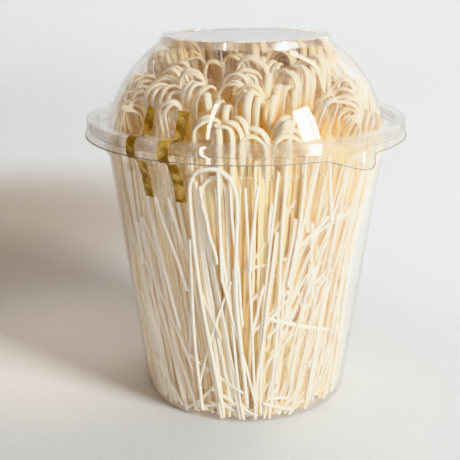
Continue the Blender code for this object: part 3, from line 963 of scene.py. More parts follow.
def wrinkles(across, along):
    """Ripples of the film, which run across it where it bridges the gutter and under the rim."""
    ripple = 0.0
    most = 0.0
    for length, strength, sway_length, sway, start in RIPPLES:
        ripple = ripple + strength * np.sin(along / length + sway * np.sin(across / sway_length + start))
        most += strength
    return WRINKLE_DEPTH * (0.5 + 0.5 * ripple / most)


def make_seal(finish):
    path = tape_corners()
    for _ in range(TAPE_CUTS):
        path = cut_corners(path)
    path, along = evenly_spaced(path, TAPE_ROW)
    across = np.linspace(-TAPE_WIDTH / 2, TAPE_WIDTH / 2, TAPE_COLUMNS + 1)
    tangent = unit(np.gradient(path, axis=0))
    outward = np.stack((-tangent[:, 1], tangent[:, 0]), axis=1)
    grid_along, grid_across = np.meshgrid(along, across, indexing="ij")
    lift = wrinkles(grid_across, grid_along)
    radius = path[:, None, 0] + outward[:, None, 0] * lift
    height = path[:, None, 1] + outward[:, None, 1] * lift
    azimuth = TAPE_AZIMUTH + grid_across / path[:, None, 0]
    points = on_azimuth(radius, azimuth, height).reshape(-1, 3)
    rows = len(along)
    columns = len(across)
    corner = np.arange(rows * columns).reshape(rows, columns)
    faces = np.stack((corner[:-1, :-1], corner[1:, :-1], corner[1:, 1:], corner[:-1, 1:]), axis=-1)
    seal = mesh_object("seal_film", points.tolist(), faces.reshape(-1, 4).tolist(), finish)
    add_attribute(seal, "across", grid_across)
    add_attribute(seal, "along", grid_along)
    return thicken(seal, TAPE_SHEET, 1.0)


# ---------------------------------------------------------------- noodles


def oval_section(sides):
    """Cosines and sines round a noodle's section, which is a little fuller than an ellipse."""
    turns = (np.arange(sides) + 0.5) / sides * FULL_TURN
    return [np.sign(way(turns)) * np.abs(way(turns)) ** SQUARENESS for way in (np.cos, np.sin)]


def swept_faces(rings, sides):
    """The quads along a swept noodle, and the triangles that close its two ends."""
    ring = np.arange(rings - 1)[:, None] * sides
    side = np.arange(sides)[None]
    after = (side + 1) % sides
    quads = np.stack((ring + side, ring + after, ring + sides + after, ring + sides + side), axis=-1)
    last = (rings - 1) * sides
    side, after = side[0], after[0]
    foot = np.full(sides, rings * sides)
    caps = np.concatenate((
        np.stack((foot, after, side), axis=-1),
        np.stack((foot + 1, last + side, last + after), axis=-1),
    ))
    return quads.reshape(-1, 4), caps


class Heap:
    """Noodles of one kind, gathered as arrays and made into one mesh."""

    def __init__(self):
        self.points = []
        self.faces = []
        self.tones = []
        self.count = 0

    def add(self, paths, wide_way, half_width, half_depth, sides, tones):
        """Sweeps an oval section along many paths at once and closes both ends.

        paths and wide_way are (noodles, rings, 3), the half sizes (noodles, rings).
        """
        noodles, rings = paths.shape[:2]
        along = unit(np.gradient(paths, axis=1))
        wide = wide_way - (wide_way * along).sum(-1, keepdims=True) * along
        wide = unit(wide)
        deep = np.cross(along, wide)
        cosine, sine = oval_section(sides)
        hoop = paths[:, :, None] + (half_width[..., None] * cosine)[..., None] * wide[:, :, None]
        hoop = hoop + (half_depth[..., None] * sine)[..., None] * deep[:, :, None]
        bulge = END_BULGE * half_depth[:, :1]
        start = paths[:, :1] - along[:, :1] * bulge[..., None]
        end = paths[:, -1:] + along[:, -1:] * bulge[..., None]
        body = hoop.reshape(noodles, rings * sides, 3)
        points = np.concatenate((body, start, end), axis=1)
        each = rings * sides + 2
        shift = self.count + np.arange(noodles)[:, None, None] * each
        for faces in swept_faces(rings, sides):
            self.faces += (faces + shift).reshape(-1, faces.shape[1]).tolist()
        self.points.append(points.reshape(-1, 3))
        self.tones.append(np.repeat(tones, each))
        self.count += noodles * each

    def made(self, name, finish):
        points = np.concatenate(self.points)
        obj = mesh_object(name, points.tolist(), self.faces, finish)
        add_attribute(obj, "tone", np.concatenate(self.tones))
        obj.data.set_sharp_from_angle(angle=NOODLE_CREASE)
        return obj


def crown_height(radius):
    """The bundle's crown, under its bends, at a distance from the axis."""
    share = np.minimum(radius / CROWN_SHOULDER, 1.0)
    return CROWN_START + (CROWN_TOP - CROWN_START) * np.sqrt(1.0 - share**CROWN_ROUNDNESS)


def crown_slope(radius):
    return math.atan2(crown_height(radius) - crown_height(radius + MM), MM)


def crown_place(radius, azimuth):
    """The point on the crown, which is a little higher at the back."""
    height = crown_height(radius)
    behind = np.maximum(-np.cos(azimuth) * radius, 0.0)
    share = (height - CROWN_START) / (CROWN_TOP - CROWN_START)
    return on_azimuth(radius, azimuth, height + np.minimum(BACK_RISE * behind, MOST_BACK_RISE) * share**2)


def side_gap(azimuth, height):
    """How far the bundle stands off the wall: nothing in front and most low down at its right."""
    usual, more_at_right = SIDE_GAP
    low, high = SIDE_GAP_HEIGHTS
    below = smooth(np.clip((high - height) / (high - low), 0.0, 1.0))
    low_down = SIDE_GAP_AT_FOOT + (1.0 - SIDE_GAP_AT_FOOT) * smooth(np.clip(height / low, 0.0, 1.0))
    widest = (usual + more_at_right * np.sin(azimuth)) * low_down
    return widest * np.sin(azimuth - SIDE_GAP_TURN) ** 2 * below


def wall_room(height, azimuth):
    """How far from the axis a noodle's middle may be, under the dome or inside the cup wall."""
    in_cup = FOOT_RADIUS - CUP_SHEET + WALL_FLARE * height - side_gap(azimuth, height)
    rise = np.clip(height - DOME_ARC_CENTRE[1], 0.0, DOME_ARC_RADIUS)
    in_dome = DOME_ARC_CENTRE[0] - LID_SHEET + np.sqrt(DOME_ARC_RADIUS**2 - rise**2)
    return np.minimum(in_cup, in_dome) - WALL_GAP - STRAND_WIDTH / 2


def kept_inside(paths, depth):
    """The paths with each point drawn in until it is deep enough inside the wall or the dome."""
    radius = np.hypot(paths[..., 0], paths[..., 1])
    azimuth = np.arctan2(paths[..., 0], -paths[..., 1])
    room = wall_room(paths[..., 2], azimuth) - depth
    share = np.minimum(1.0, room / np.maximum(radius, MM))
    drawn_in = np.array(paths)
    drawn_in[..., :2] *= share[..., None]
    ceiling = LID_TOP - DISC_RECESS - LID_SHEET - RIBBON_THICKNESS / 2 - LID_GAP
    drawn_in[..., 2] = np.minimum(drawn_in[..., 2], ceiling)
    return drawn_in


def turn_about(axis, angle):
    """Rotation matrix about a unit axis."""
    return np.array(Matrix.Rotation(angle, 3, Vector(axis)))


BEND_LEG_RINGS = 6
BEND_ARC_RINGS = 15
BEND_SQUASH = (0.85, 1.3)
BEND_SKEW = 0.3
LEG_PULL = (-0.15, 0.5)
LEG_PULL_POWER = 1.5
LEG_SWAY = 1.2 * MM
BEND_SWAY = 0.5 * MM


def bend_shapes(draw, radii, leg):
    """Hairpins in their own plane: x across, y up, z along the rod. Also how far down a leg each ring is."""
    count = len(radii)
    radii = radii[:, None]
    squash = draw.uniform(*BEND_SQUASH, (count, 1))
    skew = draw.uniform(-1.0, 1.0, (count, 1)) * BEND_SKEW
    arc = np.linspace(math.pi, 0.0, BEND_ARC_RINGS)[None]
    top_x = radii * (np.cos(arc) + skew * np.sin(arc) ** 2)
    top_y = radii * np.sin(arc) * squash
    down = np.linspace(1.0, 0.0, BEND_LEG_RINGS + 1)[None, :-1]
    left = -radii * (1.0 - draw.uniform(*LEG_PULL, (count, 1)) * down**LEG_PULL_POWER)
    right = radii * (1.0 - draw.uniform(*LEG_PULL, (count, 1)) * down**LEG_PULL_POWER)
    leg_y = -down * leg + 0 * left
    x = np.concatenate((left, top_x, right[:, ::-1]), axis=1)
    y = np.concatenate((leg_y, top_y, leg_y[:, ::-1]), axis=1)
    sway = draw.uniform(-1.0, 1.0, (count, 1)) * LEG_SWAY
    z = sway * (y / leg) + draw.uniform(-1.0, 1.0, (count, 1)) * BEND_SWAY * x / radii
    return np.stack((x, y, z), axis=-1), np.clip(-y / leg, 0.0, 1.0)


# From one ribbon to the next, how much in mm the height, the place across and the bend's radius may
# change: the least and the most
RIBBON_SLIP = ((-1.1, -0.8, -0.7), (0.3, 0.8, 0.1))
RIBBON_SCATTER = 0.35 * MM
RADIUS_SCATTER = 0.3 * MM
RIBBON_SPACING = (0.95, 1.3)
RIBBON_YAW = 0.13
RIBBON_ROLL = 0.09
RIBBON_INSET = 0.2 * RIBBON_WIDTH
RIBBON_WIDTHS = (0.82, 1.1)
RIBBON_THICKNESSES = (0.9, 1.15)
LEG_TWIST = 0.9
LEG_NARROWER = 0.35
LEG_THICKER = 0.1
LEAN_SCATTER = 0.07


def bunch_axes(azimuth, rod_azimuth, lean):
    """A leaning bunch's own axes: across its bends, upward and along the rod."""
    upward = on_azimuth(1.0, azimuth, 0.0) * math.sin(lean) + np.array((0.0, 0.0, math.cos(lean)))
    rod = on_azimuth(1.0, rod_azimuth, 0.0)
    rod = unit(rod - (rod @ upward) * upward)
    return np.cross(upward, rod), upward, rod


def twisted(draw, wide, paths, down):
    """The ribbons' wide ways, turned more and more towards the feet of their legs."""
    side = np.cross(unit(np.gradient(paths, axis=1)), wide)
    first_leg = np.arange(paths.shape[1]) < BEND_LEG_RINGS
    twists = draw.normal(0.0, LEG_TWIST, (2, len(paths), 1))
    twist = (np.where(first_leg, *twists) * down)[..., None]
    return wide * np.cos(twist) + side * np.sin(twist)


def ribbon_half_sizes(draw, down):
    """Half of each ribbon's width and thickness, which is flat at its bend and rounder down its legs."""
    each = (len(down), 1)
    half_width = RIBBON_WIDTH / 2 * draw.uniform(*RIBBON_WIDTHS, each) * (1.0 - LEG_NARROWER * down)
    half_depth = draw.uniform(*RIBBON_THICKNESSES, each) * (1.0 + LEG_THICKER * down)
    return half_width, RIBBON_THICKNESS / 2 * half_depth


def bunch(draw, heap, azimuth, distance, rod_azimuth, ribbons, radius, above=0.0):
    """A stack of flat bends side by side, as they hung on the drying rod."""
    lean = BUNCH_LEAN_SHARE * crown_slope(distance) + draw.normal(0.0, LEAN_SCATTER)
    spread, upward, rod = bunch_axes(azimuth, rod_azimuth, lean)
    order = np.arange(ribbons) - (ribbons - 1) / 2
    slip = draw.uniform(*RIBBON_SLIP) * MM
    rise = BUNCH_RISE + above + draw.uniform(-1.0, 1.0) * BUNCH_RISE_SCATTER
    lift = rise - radius + order * slip[0] + draw.normal(0.0, RIBBON_SCATTER, ribbons)
    aside = order * slip[1] + draw.normal(0.0, RIBBON_SCATTER, ribbons)
    radii = radius + order * slip[2] + draw.normal(0.0, RADIUS_SCATTER, ribbons)
    offset = order * RIBBON_WIDTH * draw.uniform(*RIBBON_SPACING)
    leg = BUNCH_LEG + BUNCH_OUTER_LEG * (distance / CROWN_SHOULDER) ** OUTER_LEG_POWER
    shapes, down = bend_shapes(draw, radii, leg)
    paths = np.empty_like(shapes)
    wide = np.empty_like(shapes)
    foot = crown_place(distance, azimuth)
    for index in range(ribbons):
        yaw = turn_about(upward, draw.normal(0.0, RIBBON_YAW))
        roll = turn_about(rod, draw.normal(0.0, RIBBON_ROLL))
        axes = np.stack((spread, upward, rod)) @ (yaw @ roll).T
        place = foot + upward * lift[index] + rod * offset[index] + spread * aside[index]
        paths[index] = shapes[index] @ axes + place
        wide[index] = axes[2]
    paths = kept_inside(paths, RIBBON_INSET)
    wide = twisted(draw, wide, paths, down)
    half_width, half_depth = ribbon_half_sizes(draw, down)
    heap.add(paths, wide, half_width, half_depth, RIBBON_SIDES, draw.uniform(0, 1, ribbons))


def spiral_bunches(draw):
    """Bunches on a spiral over the crown, wherever no listed bunch stands."""
    placed = [(distance * MM, azimuth) for azimuth, distance, *_ in FRONT_BUNCHES]
    placed += [(BACK_ROW_DISTANCE, azimuth) for azimuth in BACK_ROW]
    placed = [on_azimuth(distance, math.radians(azimuth), 0.0) for distance, azimuth in placed]
    for index in range(SPIRAL_COUNT):
        distance = SPIRAL_RADIUS * math.sqrt((index + 0.5) / SPIRAL_COUNT)
        azimuth = index * GOLDEN_ANGLE
        rod_azimuth = azimuth + draw.uniform(-1.0, 1.0) * SPIRAL_ROD_TURN
        ribbons = int(draw.integers(*SPIRAL_RIBBONS))
        radius = draw.uniform(*SPIRAL_BENDS)
        away = np.array(placed) - on_azimuth(distance, azimuth, 0.0)
        if np.linalg.norm(away, axis=1).min() > BUNCH_CLEARANCE:
            yield azimuth, distance, rod_azimuth, ribbons, radius


def back_row(draw, heap):
    """Bunches under the edge of the lid's disc at the back, which stand up to the lid."""
    for azimuth in np.radians(BACK_ROW):
        distance = BACK_ROW_DISTANCE + draw.uniform(-1.0, 1.0) * BACK_ROW_SCATTER
        rod_azimuth = azimuth + draw.uniform(-1.0, 1.0) * BACK_ROW_TURN
        above = BACK_ROW_ABOVE + draw.uniform(0.0, BACK_ROW_MORE) * abs(math.cos(azimuth))
        radius = draw.uniform(*BACK_ROW_BENDS)
        bunch(draw, heap, azimuth, distance, rod_azimuth, BACK_ROW_RIBBONS, radius, above)


def make_bends(draw, finish):
    heap = Heap()
    back_row(draw, heap)
    for azimuth, distance, rod_azimuth, ribbons, radius, above in FRONT_BUNCHES:
        place = (math.radians(azimuth), distance * MM, math.radians(rod_azimuth))
        bunch(draw, heap, *place, ribbons, radius * MM, above * MM)
    for azimuth, distance, *rest in spiral_bunches(draw):
        behind = np.clip(-math.cos(azimuth) * distance / BACK_STAND_REACH, 0.0, 1.0)
        bunch(draw, heap, azimuth, distance, *rest, BACK_STAND * behind)
    standing_ends(draw, heap)
    return heap.made("somen_bends", finish)


STANDING_COUNT = 420
STANDING_REACH = 50.0 * MM
STANDING_DEPTHS = (2.0 * MM, 12.0 * MM)
STANDING_LEAN = 2.2 * MM
STANDING_LENGTH = 22.0 * MM
STANDING_RINGS = 4
STANDING_HALF_WIDTHS = (0.7 * MM, 1.3 * MM)


def standing_ends(draw, heap):
    """Noodles that stand in the crown and end among the bends' legs."""
    count = STANDING_COUNT
    radius = STANDING_REACH * np.sqrt(draw.uniform(0.0, 1.0, count))
    azimuth = draw.uniform(0.0, FULL_TURN, count)
    head = crown_place(radius, azimuth)
    head[:, 2] -= draw.uniform(*STANDING_DEPTHS, count)
    lean = draw.normal(0.0, STANDING_LEAN, (count, 2))
    foot = head - np.column_stack((lean, np.full(count, STANDING_LENGTH)))
    share = np.linspace(0.0, 1.0, STANDING_RINGS)[None, :, None]
    paths = kept_inside(head[:, None] * (1.0 - share) + foot[:, None] * share, RIBBON_WIDTH / 2)
    around = draw.uniform(0.0, FULL_TURN, count)
    wide = np.stack((np.cos(around), np.sin(around), 0.0 * around), axis=-1)
    wide = np.broadcast_to(wide[:, None], paths.shape)
    half_width = draw.uniform(*STANDING_HALF_WIDTHS, (count, 1)) * np.ones((1, STANDING_RINGS))
    half_depth = np.full(half_width.shape, RIBBON_THICKNESS / 2)
    heap.add(paths, wide, half_width, half_depth, NOODLE_SIDES, draw.uniform(0, 1, count))


FAN = math.radians(18.0)
FAN_WAVES = 3.0
FAN_TURN = math.radians(5.0)
STRAND_RINGS = 9
SHORT_RINGS = 5
BOW = 0.6 * MM
RIPPLE = 0.16 * MM
RIPPLE_WAVES = 1.5
STRAND_WIDTHS = (0.84, 1.1)
STRAND_OVALS = (0.8, 1.0)


def fan(azimuth):
    """How far a long noodle's foot lies round from its head, as the feet draw together."""
    return -FAN * np.sin(FAN_WAVES * (azimuth - FAN_TURN))


def near_wall(azimuth, height, depth):
    """The place of a noodle's middle at a depth under the wall."""
    return on_azimuth(wall_room(height, azimuth) - depth, azimuth, height)


def lay(draw, heap, head_azimuth, head_height, foot_azimuth, foot_height, depth, tones, rings=STRAND_RINGS):
    """Straight noodles between points near the wall, each with a slight natural bow."""
    count = len(head_azimuth)
    head = near_wall(head_azimuth, head_height, depth)
    foot = near_wall(foot_azimuth, foot_height, depth)
    share = np.linspace(0.0, 1.0, rings)[None, :, None]
    paths = foot[:, None] * (1.0 - share) + head[:, None] * share
    sideways = np.stack((np.cos(head_azimuth), np.sin(head_azimuth), 0.0 * head_azimuth), axis=-1)
    bow = draw.normal(0.0, BOW, (count, 1, 1)) * np.sin(share * math.pi)
    phase = draw.uniform(0.0, FULL_TURN, (count, 1, 1))
    ripple = draw.normal(0.0, RIPPLE, (count, 1, 1)) * np.sin(share * FULL_TURN * RIPPLE_WAVES + phase)
    paths = kept_inside(paths + (bow + ripple) * sideways[:, None], np.reshape(depth, (-1, 1)))
    thickness = STRAND_WIDTH / 2 * draw.uniform(*STRAND_WIDTHS, (count, 1)) * np.ones((1, rings))
    oval = draw.uniform(*STRAND_OVALS, (count, 1))
    wide = np.broadcast_to(sideways[:, None], paths.shape)
    heap.add(paths, wide, thickness, thickness * oval, NOODLE_SIDES, tones)


# Layers of long noodles under the wall: how many and how deep, how much of the fan they follow, how
# far they scatter from it and how many are missing where the outer noodles are few
LAYERS = (
    (66, 0.1 * MM, 1.0, math.radians(6.5), 0.85),
    (120, 1.7 * MM, 0.8, math.radians(5.0), 0.55),
    (150, 2.9 * MM, 0.5, math.radians(4.0), 0.0),
    (170, 4.1 * MM, 0.3, math.radians(3.0), 0.0),
)
# Where the outer noodles are few: azimuth, half its spread and how much of them is missing
OPENINGS = (
    (math.radians(38.0), math.radians(24.0), 1.0),
    (math.radians(-44.0), math.radians(10.0), 0.75),
)
CLUMPING = math.radians(2.2)
CLUMPS = 14.0
SPACING_SCATTER = 0.8
RIGHT_WILDER = 0.7
HEAD_HEIGHTS = (100.0 * MM, 113.0 * MM)
FOOT_SCATTER = 1.4 * MM
DEPTH_SCATTER = 0.8 * MM


def layer_of_strands(draw, heap, count, depth, lean_share, scatter, thinned):
    """Long noodles all round, at one depth under the wall, and fewer of them where the askew ones lie."""
    spacing = FULL_TURN / count
    shift = draw.uniform(-SPACING_SCATTER, SPACING_SCATTER, count)
    azimuth = (np.arange(count) - count / 2 + shift) * spacing
    azimuth = azimuth + CLUMPING * np.sin(CLUMPS * azimuth)
    gap = sum(share * np.exp(-(((azimuth - middle) / reach) ** 2)) for middle, reach, share in OPENINGS)
    azimuth = azimuth[draw.uniform(0.0, 1.0, count) > thinned * gap]
    count = len(azimuth)
    wild = 1.0 + RIGHT_WILDER * np.sin(azimuth)
    turn = fan(azimuth) * lean_share + draw.normal(0.0, 1.0, count) * scatter * wild
    head_height = draw.uniform(*HEAD_HEIGHTS, count)
    foot_height = FOOT_HEIGHT + FOOT_SCATTER * draw.uniform(0.0, 1.0, count) ** 2
    depth = depth + draw.uniform(0.0, DEPTH_SCATTER, count)
    tones = draw.uniform(0, 1, count)
    lay(draw, heap, azimuth - turn / 2, head_height, azimuth + turn / 2, foot_height, depth, tones)


RIM_BUNCH_COUNT = 24
RIM_BUNCH_SCATTER = 0.4
RIM_BUNCH_TOPS = (104.0 * MM, 117.0 * MM)
RIM_BENDS = (3.8 * MM, 6.2 * MM)
RIM_BEND_SCATTER = 0.4 * MM
RIM_FACING = 0.6
RIM_FACING_SCATTER = 0.1
RIM_RIBBONS = (1, 4)
RIM_DROP = (-0.6 * MM, 1.6 * MM)
RIM_AZIMUTH_SCATTER = 0.03
RIM_FIRST_DEPTH = 0.5 * MM
RIM_DEPTH_STEP = 1.3 * RIBBON_THICKNESS
BARE_FRONT = math.radians(48.0)


def rim_hairpins(draw, heap):
    """Bends low against the wall, whose legs run right down the cup."""
    for index in range(RIM_BUNCH_COUNT):
        shift = draw.uniform(-RIM_BUNCH_SCATTER, RIM_BUNCH_SCATTER)
        azimuth = (index + 0.5 + shift - RIM_BUNCH_COUNT / 2) / RIM_BUNCH_COUNT * FULL_TURN
        if abs(azimuth) < BARE_FRONT:
            continue
        top = draw.uniform(*RIM_BUNCH_TOPS)
        radius = draw.uniform(*RIM_BENDS)
        facing = draw.uniform(-RIM_FACING, RIM_FACING)
        for ribbon in range(int(draw.integers(*RIM_RIBBONS))):
            crest = top - ribbon * draw.uniform(*RIM_DROP)
            size = radius + draw.normal(0.0, RIM_BEND_SCATTER)
            turned_by = facing + draw.normal(0.0, RIM_FACING_SCATTER)
            depth = RIM_FIRST_DEPTH + ribbon * RIM_DEPTH_STEP
            aside = draw.normal(0.0, RIM_AZIMUTH_SCATTER)
            hairpin(draw, heap, azimuth + aside, crest, size, turned_by, depth)


LEG_RINGS = 12
LEG_FAN_SHARE = 0.8
LEG_SCATTER = 0.08
LEG_FOOT_SCATTER = 4.0 * MM
LEG_START = np.array((0.0, 0.0, -60.0 * MM))


def leg_down(draw, start, depth):
    """A smooth curve from a bend's end straight down and then away to a foot near the wall."""
    azimuth = math.atan2(start[0], -start[1])
    foot_azimuth = azimuth + float(fan(azimuth)) * LEG_FAN_SHARE + draw.normal(0.0, LEG_SCATTER)
    foot_height = FOOT_HEIGHT + draw.uniform(0.0, LEG_FOOT_SCATTER)
    foot = near_wall(foot_azimuth, foot_height, depth)
    share = np.linspace(0.0, 1.0, LEG_RINGS)[1:, None]
    return curve_between(start, LEG_START, foot, foot - start, share)


HAIRPIN_RINGS = 13
HAIRPIN_SQUASH = (0.9, 1.3)
HAIRPIN_ROUND_BELOW = 30.0 * MM
# Half the width and half the thickness of a hairpin, at its top and down its legs
HAIRPIN_HALF_WIDTHS = (0.46 * RIBBON_WIDTH, 0.5 * STRAND_WIDTH)
HAIRPIN_HALF_DEPTHS = (0.5 * RIBBON_THICKNESS, 0.46 * STRAND_WIDTH)


def hairpin(draw, heap, azimuth, crest, size, facing, depth):
    """One bend against the wall, flat at its top and round down its legs."""
    middle = on_azimuth(wall_room(crest, azimuth) - depth, azimuth, crest - size)
    spread = np.array((math.cos(azimuth + facing), math.sin(azimuth + facing), 0.0))
    rod = np.cross(spread, (0.0, 0.0, 1.0))
    arc = np.linspace(math.pi, 0.0, HAIRPIN_RINGS)[:, None]
    squash = draw.uniform(*HAIRPIN_SQUASH)
    top = middle + size * (np.cos(arc) * spread + np.sin(arc) * squash * np.array((0.0, 0.0, 1.0)))
    legs = [leg_down(draw, end, depth) for end in (top[0], top[-1])]
    path = kept_inside(np.concatenate((legs[0][::-1], top, legs[1]))[None], depth)
    down = np.clip((middle[2] - path[..., 2]) / HAIRPIN_ROUND_BELOW, 0.0, 1.0)
    half_width, half_depth = (
        at_top * (1.0 - down) + below * down for at_top, below in (HAIRPIN_HALF_WIDTHS, HAIRPIN_HALF_DEPTHS)
    )
    wide = np.broadcast_to(rod, path.shape)
    heap.add(path, wide, half_width, half_depth, NOODLE_SIDES, draw.uniform(0, 1, 1))


def smooth_through(stations, steps):
    """A smooth curve through stations, with a number of steps between each two."""
    ends = (2 * stations[0] - stations[1], 2 * stations[-1] - stations[-2])
    points = np.concatenate((ends[0][None], stations, ends[1][None]))
    share = np.arange(steps)[:, None] / steps
    curve = [
        curve_between(start, (end - before) / 2, end, (after - start) / 2, share)
        for before, start, end, after in zip(points, points[1:], points[2:], points[3:])
    ]
    return np.concatenate((*curve, stations[-1:]))


WALL_NOODLE_STEPS = 5
WALL_NOODLE_HALF_WIDTH = 0.504 * STRAND_WIDTH
WALL_NOODLE_HALF_DEPTH = 0.616 * STRAND_WIDTH
WALL_NOODLE_TONE = 0.2


def wall_noodles(heap):
    """The noodles that bend along the wall in front."""
    for depth, stations in WALL_NOODLES:
        azimuth, height = smooth_through(np.array(stations, dtype=float), WALL_NOODLE_STEPS).T
        azimuth = np.radians(azimuth)
        path = near_wall(azimuth, height * MM, depth * MM)[None]
        outward = on_azimuth(1.0, azimuth, 0.0)[None]
        half_width = np.full(path.shape[:2], WALL_NOODLE_HALF_WIDTH)
        half_depth = np.full(path.shape[:2], WALL_NOODLE_HALF_DEPTH)
        heap.add(path, outward, half_width, half_depth, NOODLE_SIDES, np.array((WALL_NOODLE_TONE,)))


FRONT_TONES = (0.0, 0.4)


def front_strands(draw, heap):
    """The noodles that stand out against the wall in front."""
    head_azimuth, head_height, foot_azimuth, foot_height = np.array(FRONT_STRANDS, dtype=float).T
    count = len(head_azimuth)
    head = (np.radians(head_azimuth), head_height * MM)
    foot = (np.radians(foot_azimuth), foot_height * MM)
    lay(draw, heap, *head, *foot, np.zeros(count), draw.uniform(*FRONT_TONES, count))


def make_strands(draw, finish):
    heap = Heap()
    rim_hairpins(draw, heap)
    wall_noodles(heap)
    front_strands(draw, heap)
    for layer in LAYERS:
        layer_of_strands(draw, heap, *layer)
    return heap.made("somen_strands", finish)


def lay_askew(draw, heap, azimuth, middle, length, lean, deepest):
    """Short noodles that lean from the upright about their middles, down to some depth under the wall."""
    depth = draw.uniform(0.0, deepest, len(azimuth))
    rise = np.cos(lean) * length / 2
    turn = np.sin(lean) * length / 2 / wall_room(middle, azimuth)
    tones = draw.uniform(0.0, 1.0, len(azimuth))
    lay(draw, heap, azimuth + turn, middle + rise, azimuth - turn, middle - rise, depth, tones, SHORT_RINGS)


BROKEN_COUNT = 50
BROKEN_LENGTHS = (20.0 * MM, 60.0 * MM)
BROKEN_LEAN_RIGHT = 0.35
BROKEN_LEAN_SCATTER = 0.22
BROKEN_ROOM = 96.0 * MM
BROKEN_DEEPEST = 1.2 * MM
# Askew noodles at the front right: how many, their lengths, their lean and its scatter
ASKEW = (
    (26, (45.0 * MM, 85.0 * MM), 0.34, 0.2),
    (44, (16.0 * MM, 44.0 * MM), 0.45, 0.55),
)
ASKEW_AZIMUTHS = (8.0, 74.0)
ASKEW_ROOM = 100.0 * MM
ASKEW_DEEPEST = 2.6 * MM
BIT_COUNT = 80
BIT_LENGTHS = (7.0 * MM, 26.0 * MM)
BIT_LEANS = (0.7, 1.5)
BIT_RISE = 4.0 * MM
BIT_DEEPEST = 3.0 * MM


def make_broken(draw, finish):
    """Short broken noodles that lie askew across the long ones, and bits round the foot."""
    heap = Heap()
    azimuth = draw.uniform(0.0, FULL_TURN, BROKEN_COUNT)
    length = draw.uniform(*BROKEN_LENGTHS, BROKEN_COUNT)
    lean = BROKEN_LEAN_RIGHT * np.sin(azimuth) + draw.normal(0.0, BROKEN_LEAN_SCATTER, BROKEN_COUNT)
    rise = draw.uniform(0.0, 1.0, BROKEN_COUNT) * (BROKEN_ROOM - length)
    middle = CORE_BOTTOM + np.cos(lean) * length / 2 + rise
    lay_askew(draw, heap, azimuth, middle, length, lean, BROKEN_DEEPEST)
    for count, lengths, usual_lean, scatter in ASKEW:
        azimuth = np.radians(draw.uniform(*ASKEW_AZIMUTHS, count))
        length = draw.uniform(*lengths, count)
        lean = usual_lean + draw.normal(0.0, scatter, count)
        rise = draw.uniform(0.0, 1.0, count) * (ASKEW_ROOM - length)
        middle = CORE_BOTTOM + np.cos(lean) * length / 2 + rise
        lay_askew(draw, heap, azimuth, middle, length, lean, ASKEW_DEEPEST)
    azimuth = draw.uniform(0.0, FULL_TURN, BIT_COUNT)
    length = draw.uniform(*BIT_LENGTHS, BIT_COUNT)
    lean = draw.choice((-1.0, 1.0), BIT_COUNT) * draw.uniform(*BIT_LEANS, BIT_COUNT)
    middle = FOOT_HEIGHT + np.cos(lean) * length / 2 + draw.uniform(0.0, BIT_RISE, BIT_COUNT)
    lay_askew(draw, heap, azimuth, middle, length, lean, BIT_DEEPEST)
    return heap.made("somen_broken", finish)


CORE_ROWS = 60
CORE_COLUMNS = 360
CORE_CROWN_ROWS = 24
CORE_CROWN_ROUNDNESS = 0.7
RIDGE = 0.35 * MM
RIDGES = 110.0
RIDGE_SWAY = 1.5
RIDGE_SWAYS = 13.0


def make_core(finish):
    """The bundle's solid middle, ridged like the noodles that stand against it."""
    columns = CORE_COLUMNS
    heights = np.linspace(CORE_BOTTOM, CORE_CROWN_START, CORE_ROWS)
    azimuths = np.arange(columns) / columns * FULL_TURN
    ridge = RIDGE * np.sin(azimuths * RIDGES + RIDGE_SWAY * np.sin(azimuths * RIDGE_SWAYS))
    side = FOOT_RADIUS - CUP_SHEET + WALL_FLARE * heights - CORE_DEPTH
    points = [
        on_azimuth(radius + ridge - side_gap(azimuths, height), azimuths, height)
        for radius, height in zip(side, heights)
    ]
    for share in np.linspace(0.0, 1.0, CORE_CROWN_ROWS)[1:-1]:
        angle = share * math.pi / 2
        height = CORE_CROWN_START + (CORE_CROWN_TOP - CORE_CROWN_START) * math.sin(angle)
        reach = side[-1] * math.cos(angle) ** CORE_CROWN_ROUNDNESS
        points.append(on_azimuth(reach + ridge * math.cos(angle), azimuths, height))
    count = len(points)
    grid = np.arange(count * columns).reshape(count, columns)
    after = np.roll(grid, -1, axis=1)
    faces = np.stack((grid[:-1], after[:-1], after[1:], grid[1:]), axis=-1).reshape(-1, 4).tolist()
    points = np.concatenate(points)
    top = len(points)
    ends = np.array(((0.0, 0.0, CORE_CROWN_TOP), (0.0, 0.0, CORE_BOTTOM)))
    faces += np.stack((grid[-1], after[-1], np.full(columns, top)), axis=-1).tolist()
    faces += np.stack((after[0], grid[0], np.full(columns, top + 1)), axis=-1).tolist()
    return mesh_object("somen_core", np.concatenate((points, ends)).tolist(), faces, finish)


# ---------------------------------------------------------------- studio


LAMP_TARGET = (0.0, 0.0, 120.0 * MM)
WINDOW_LIGHT = (0.84, 0.945, 1.0)
WHITE_LIGHT = (1.0, 1.0, 1.0)
BACKDROP_LIGHT = (1.0, 0.98, 0.95)
# Lamps round the lid: azimuth and elevation in degrees and distance, width and height, power, colour,
# and whether it lights everything, shows only where it is mirrored or is never mirrored
LAMPS = (
    ("window", (50.4, 23.0, 0.95), (0.17, 0.46), 9.2, WINDOW_LIGHT, "plain"),
    ("window side", (58.8, 23.0, 0.95), (0.056, 0.46), 3.0, WINDOW_LIGHT, "plain"),
    ("front", (15.0, 12.0, 0.9), (0.4, 0.4), 0.7, WINDOW_LIGHT, "unmirrored"),
    ("window glint", (50.4, 23.0, 0.94), (0.17, 0.46), 18.0, WINDOW_LIGHT, "mirrored"),
    ("side glint", (58.8, 23.0, 0.94), (0.056, 0.46), 6.0, WINDOW_LIGHT, "mirrored"),
    ("gap", (-30.0, 31.0, 0.9), (0.036, 0.5), 4.0, WHITE_LIGHT, "mirrored"),
    ("back", (138.0, 19.0, 0.9), (0.16, 0.35), 0.3, WHITE_LIGHT, "plain"),
)
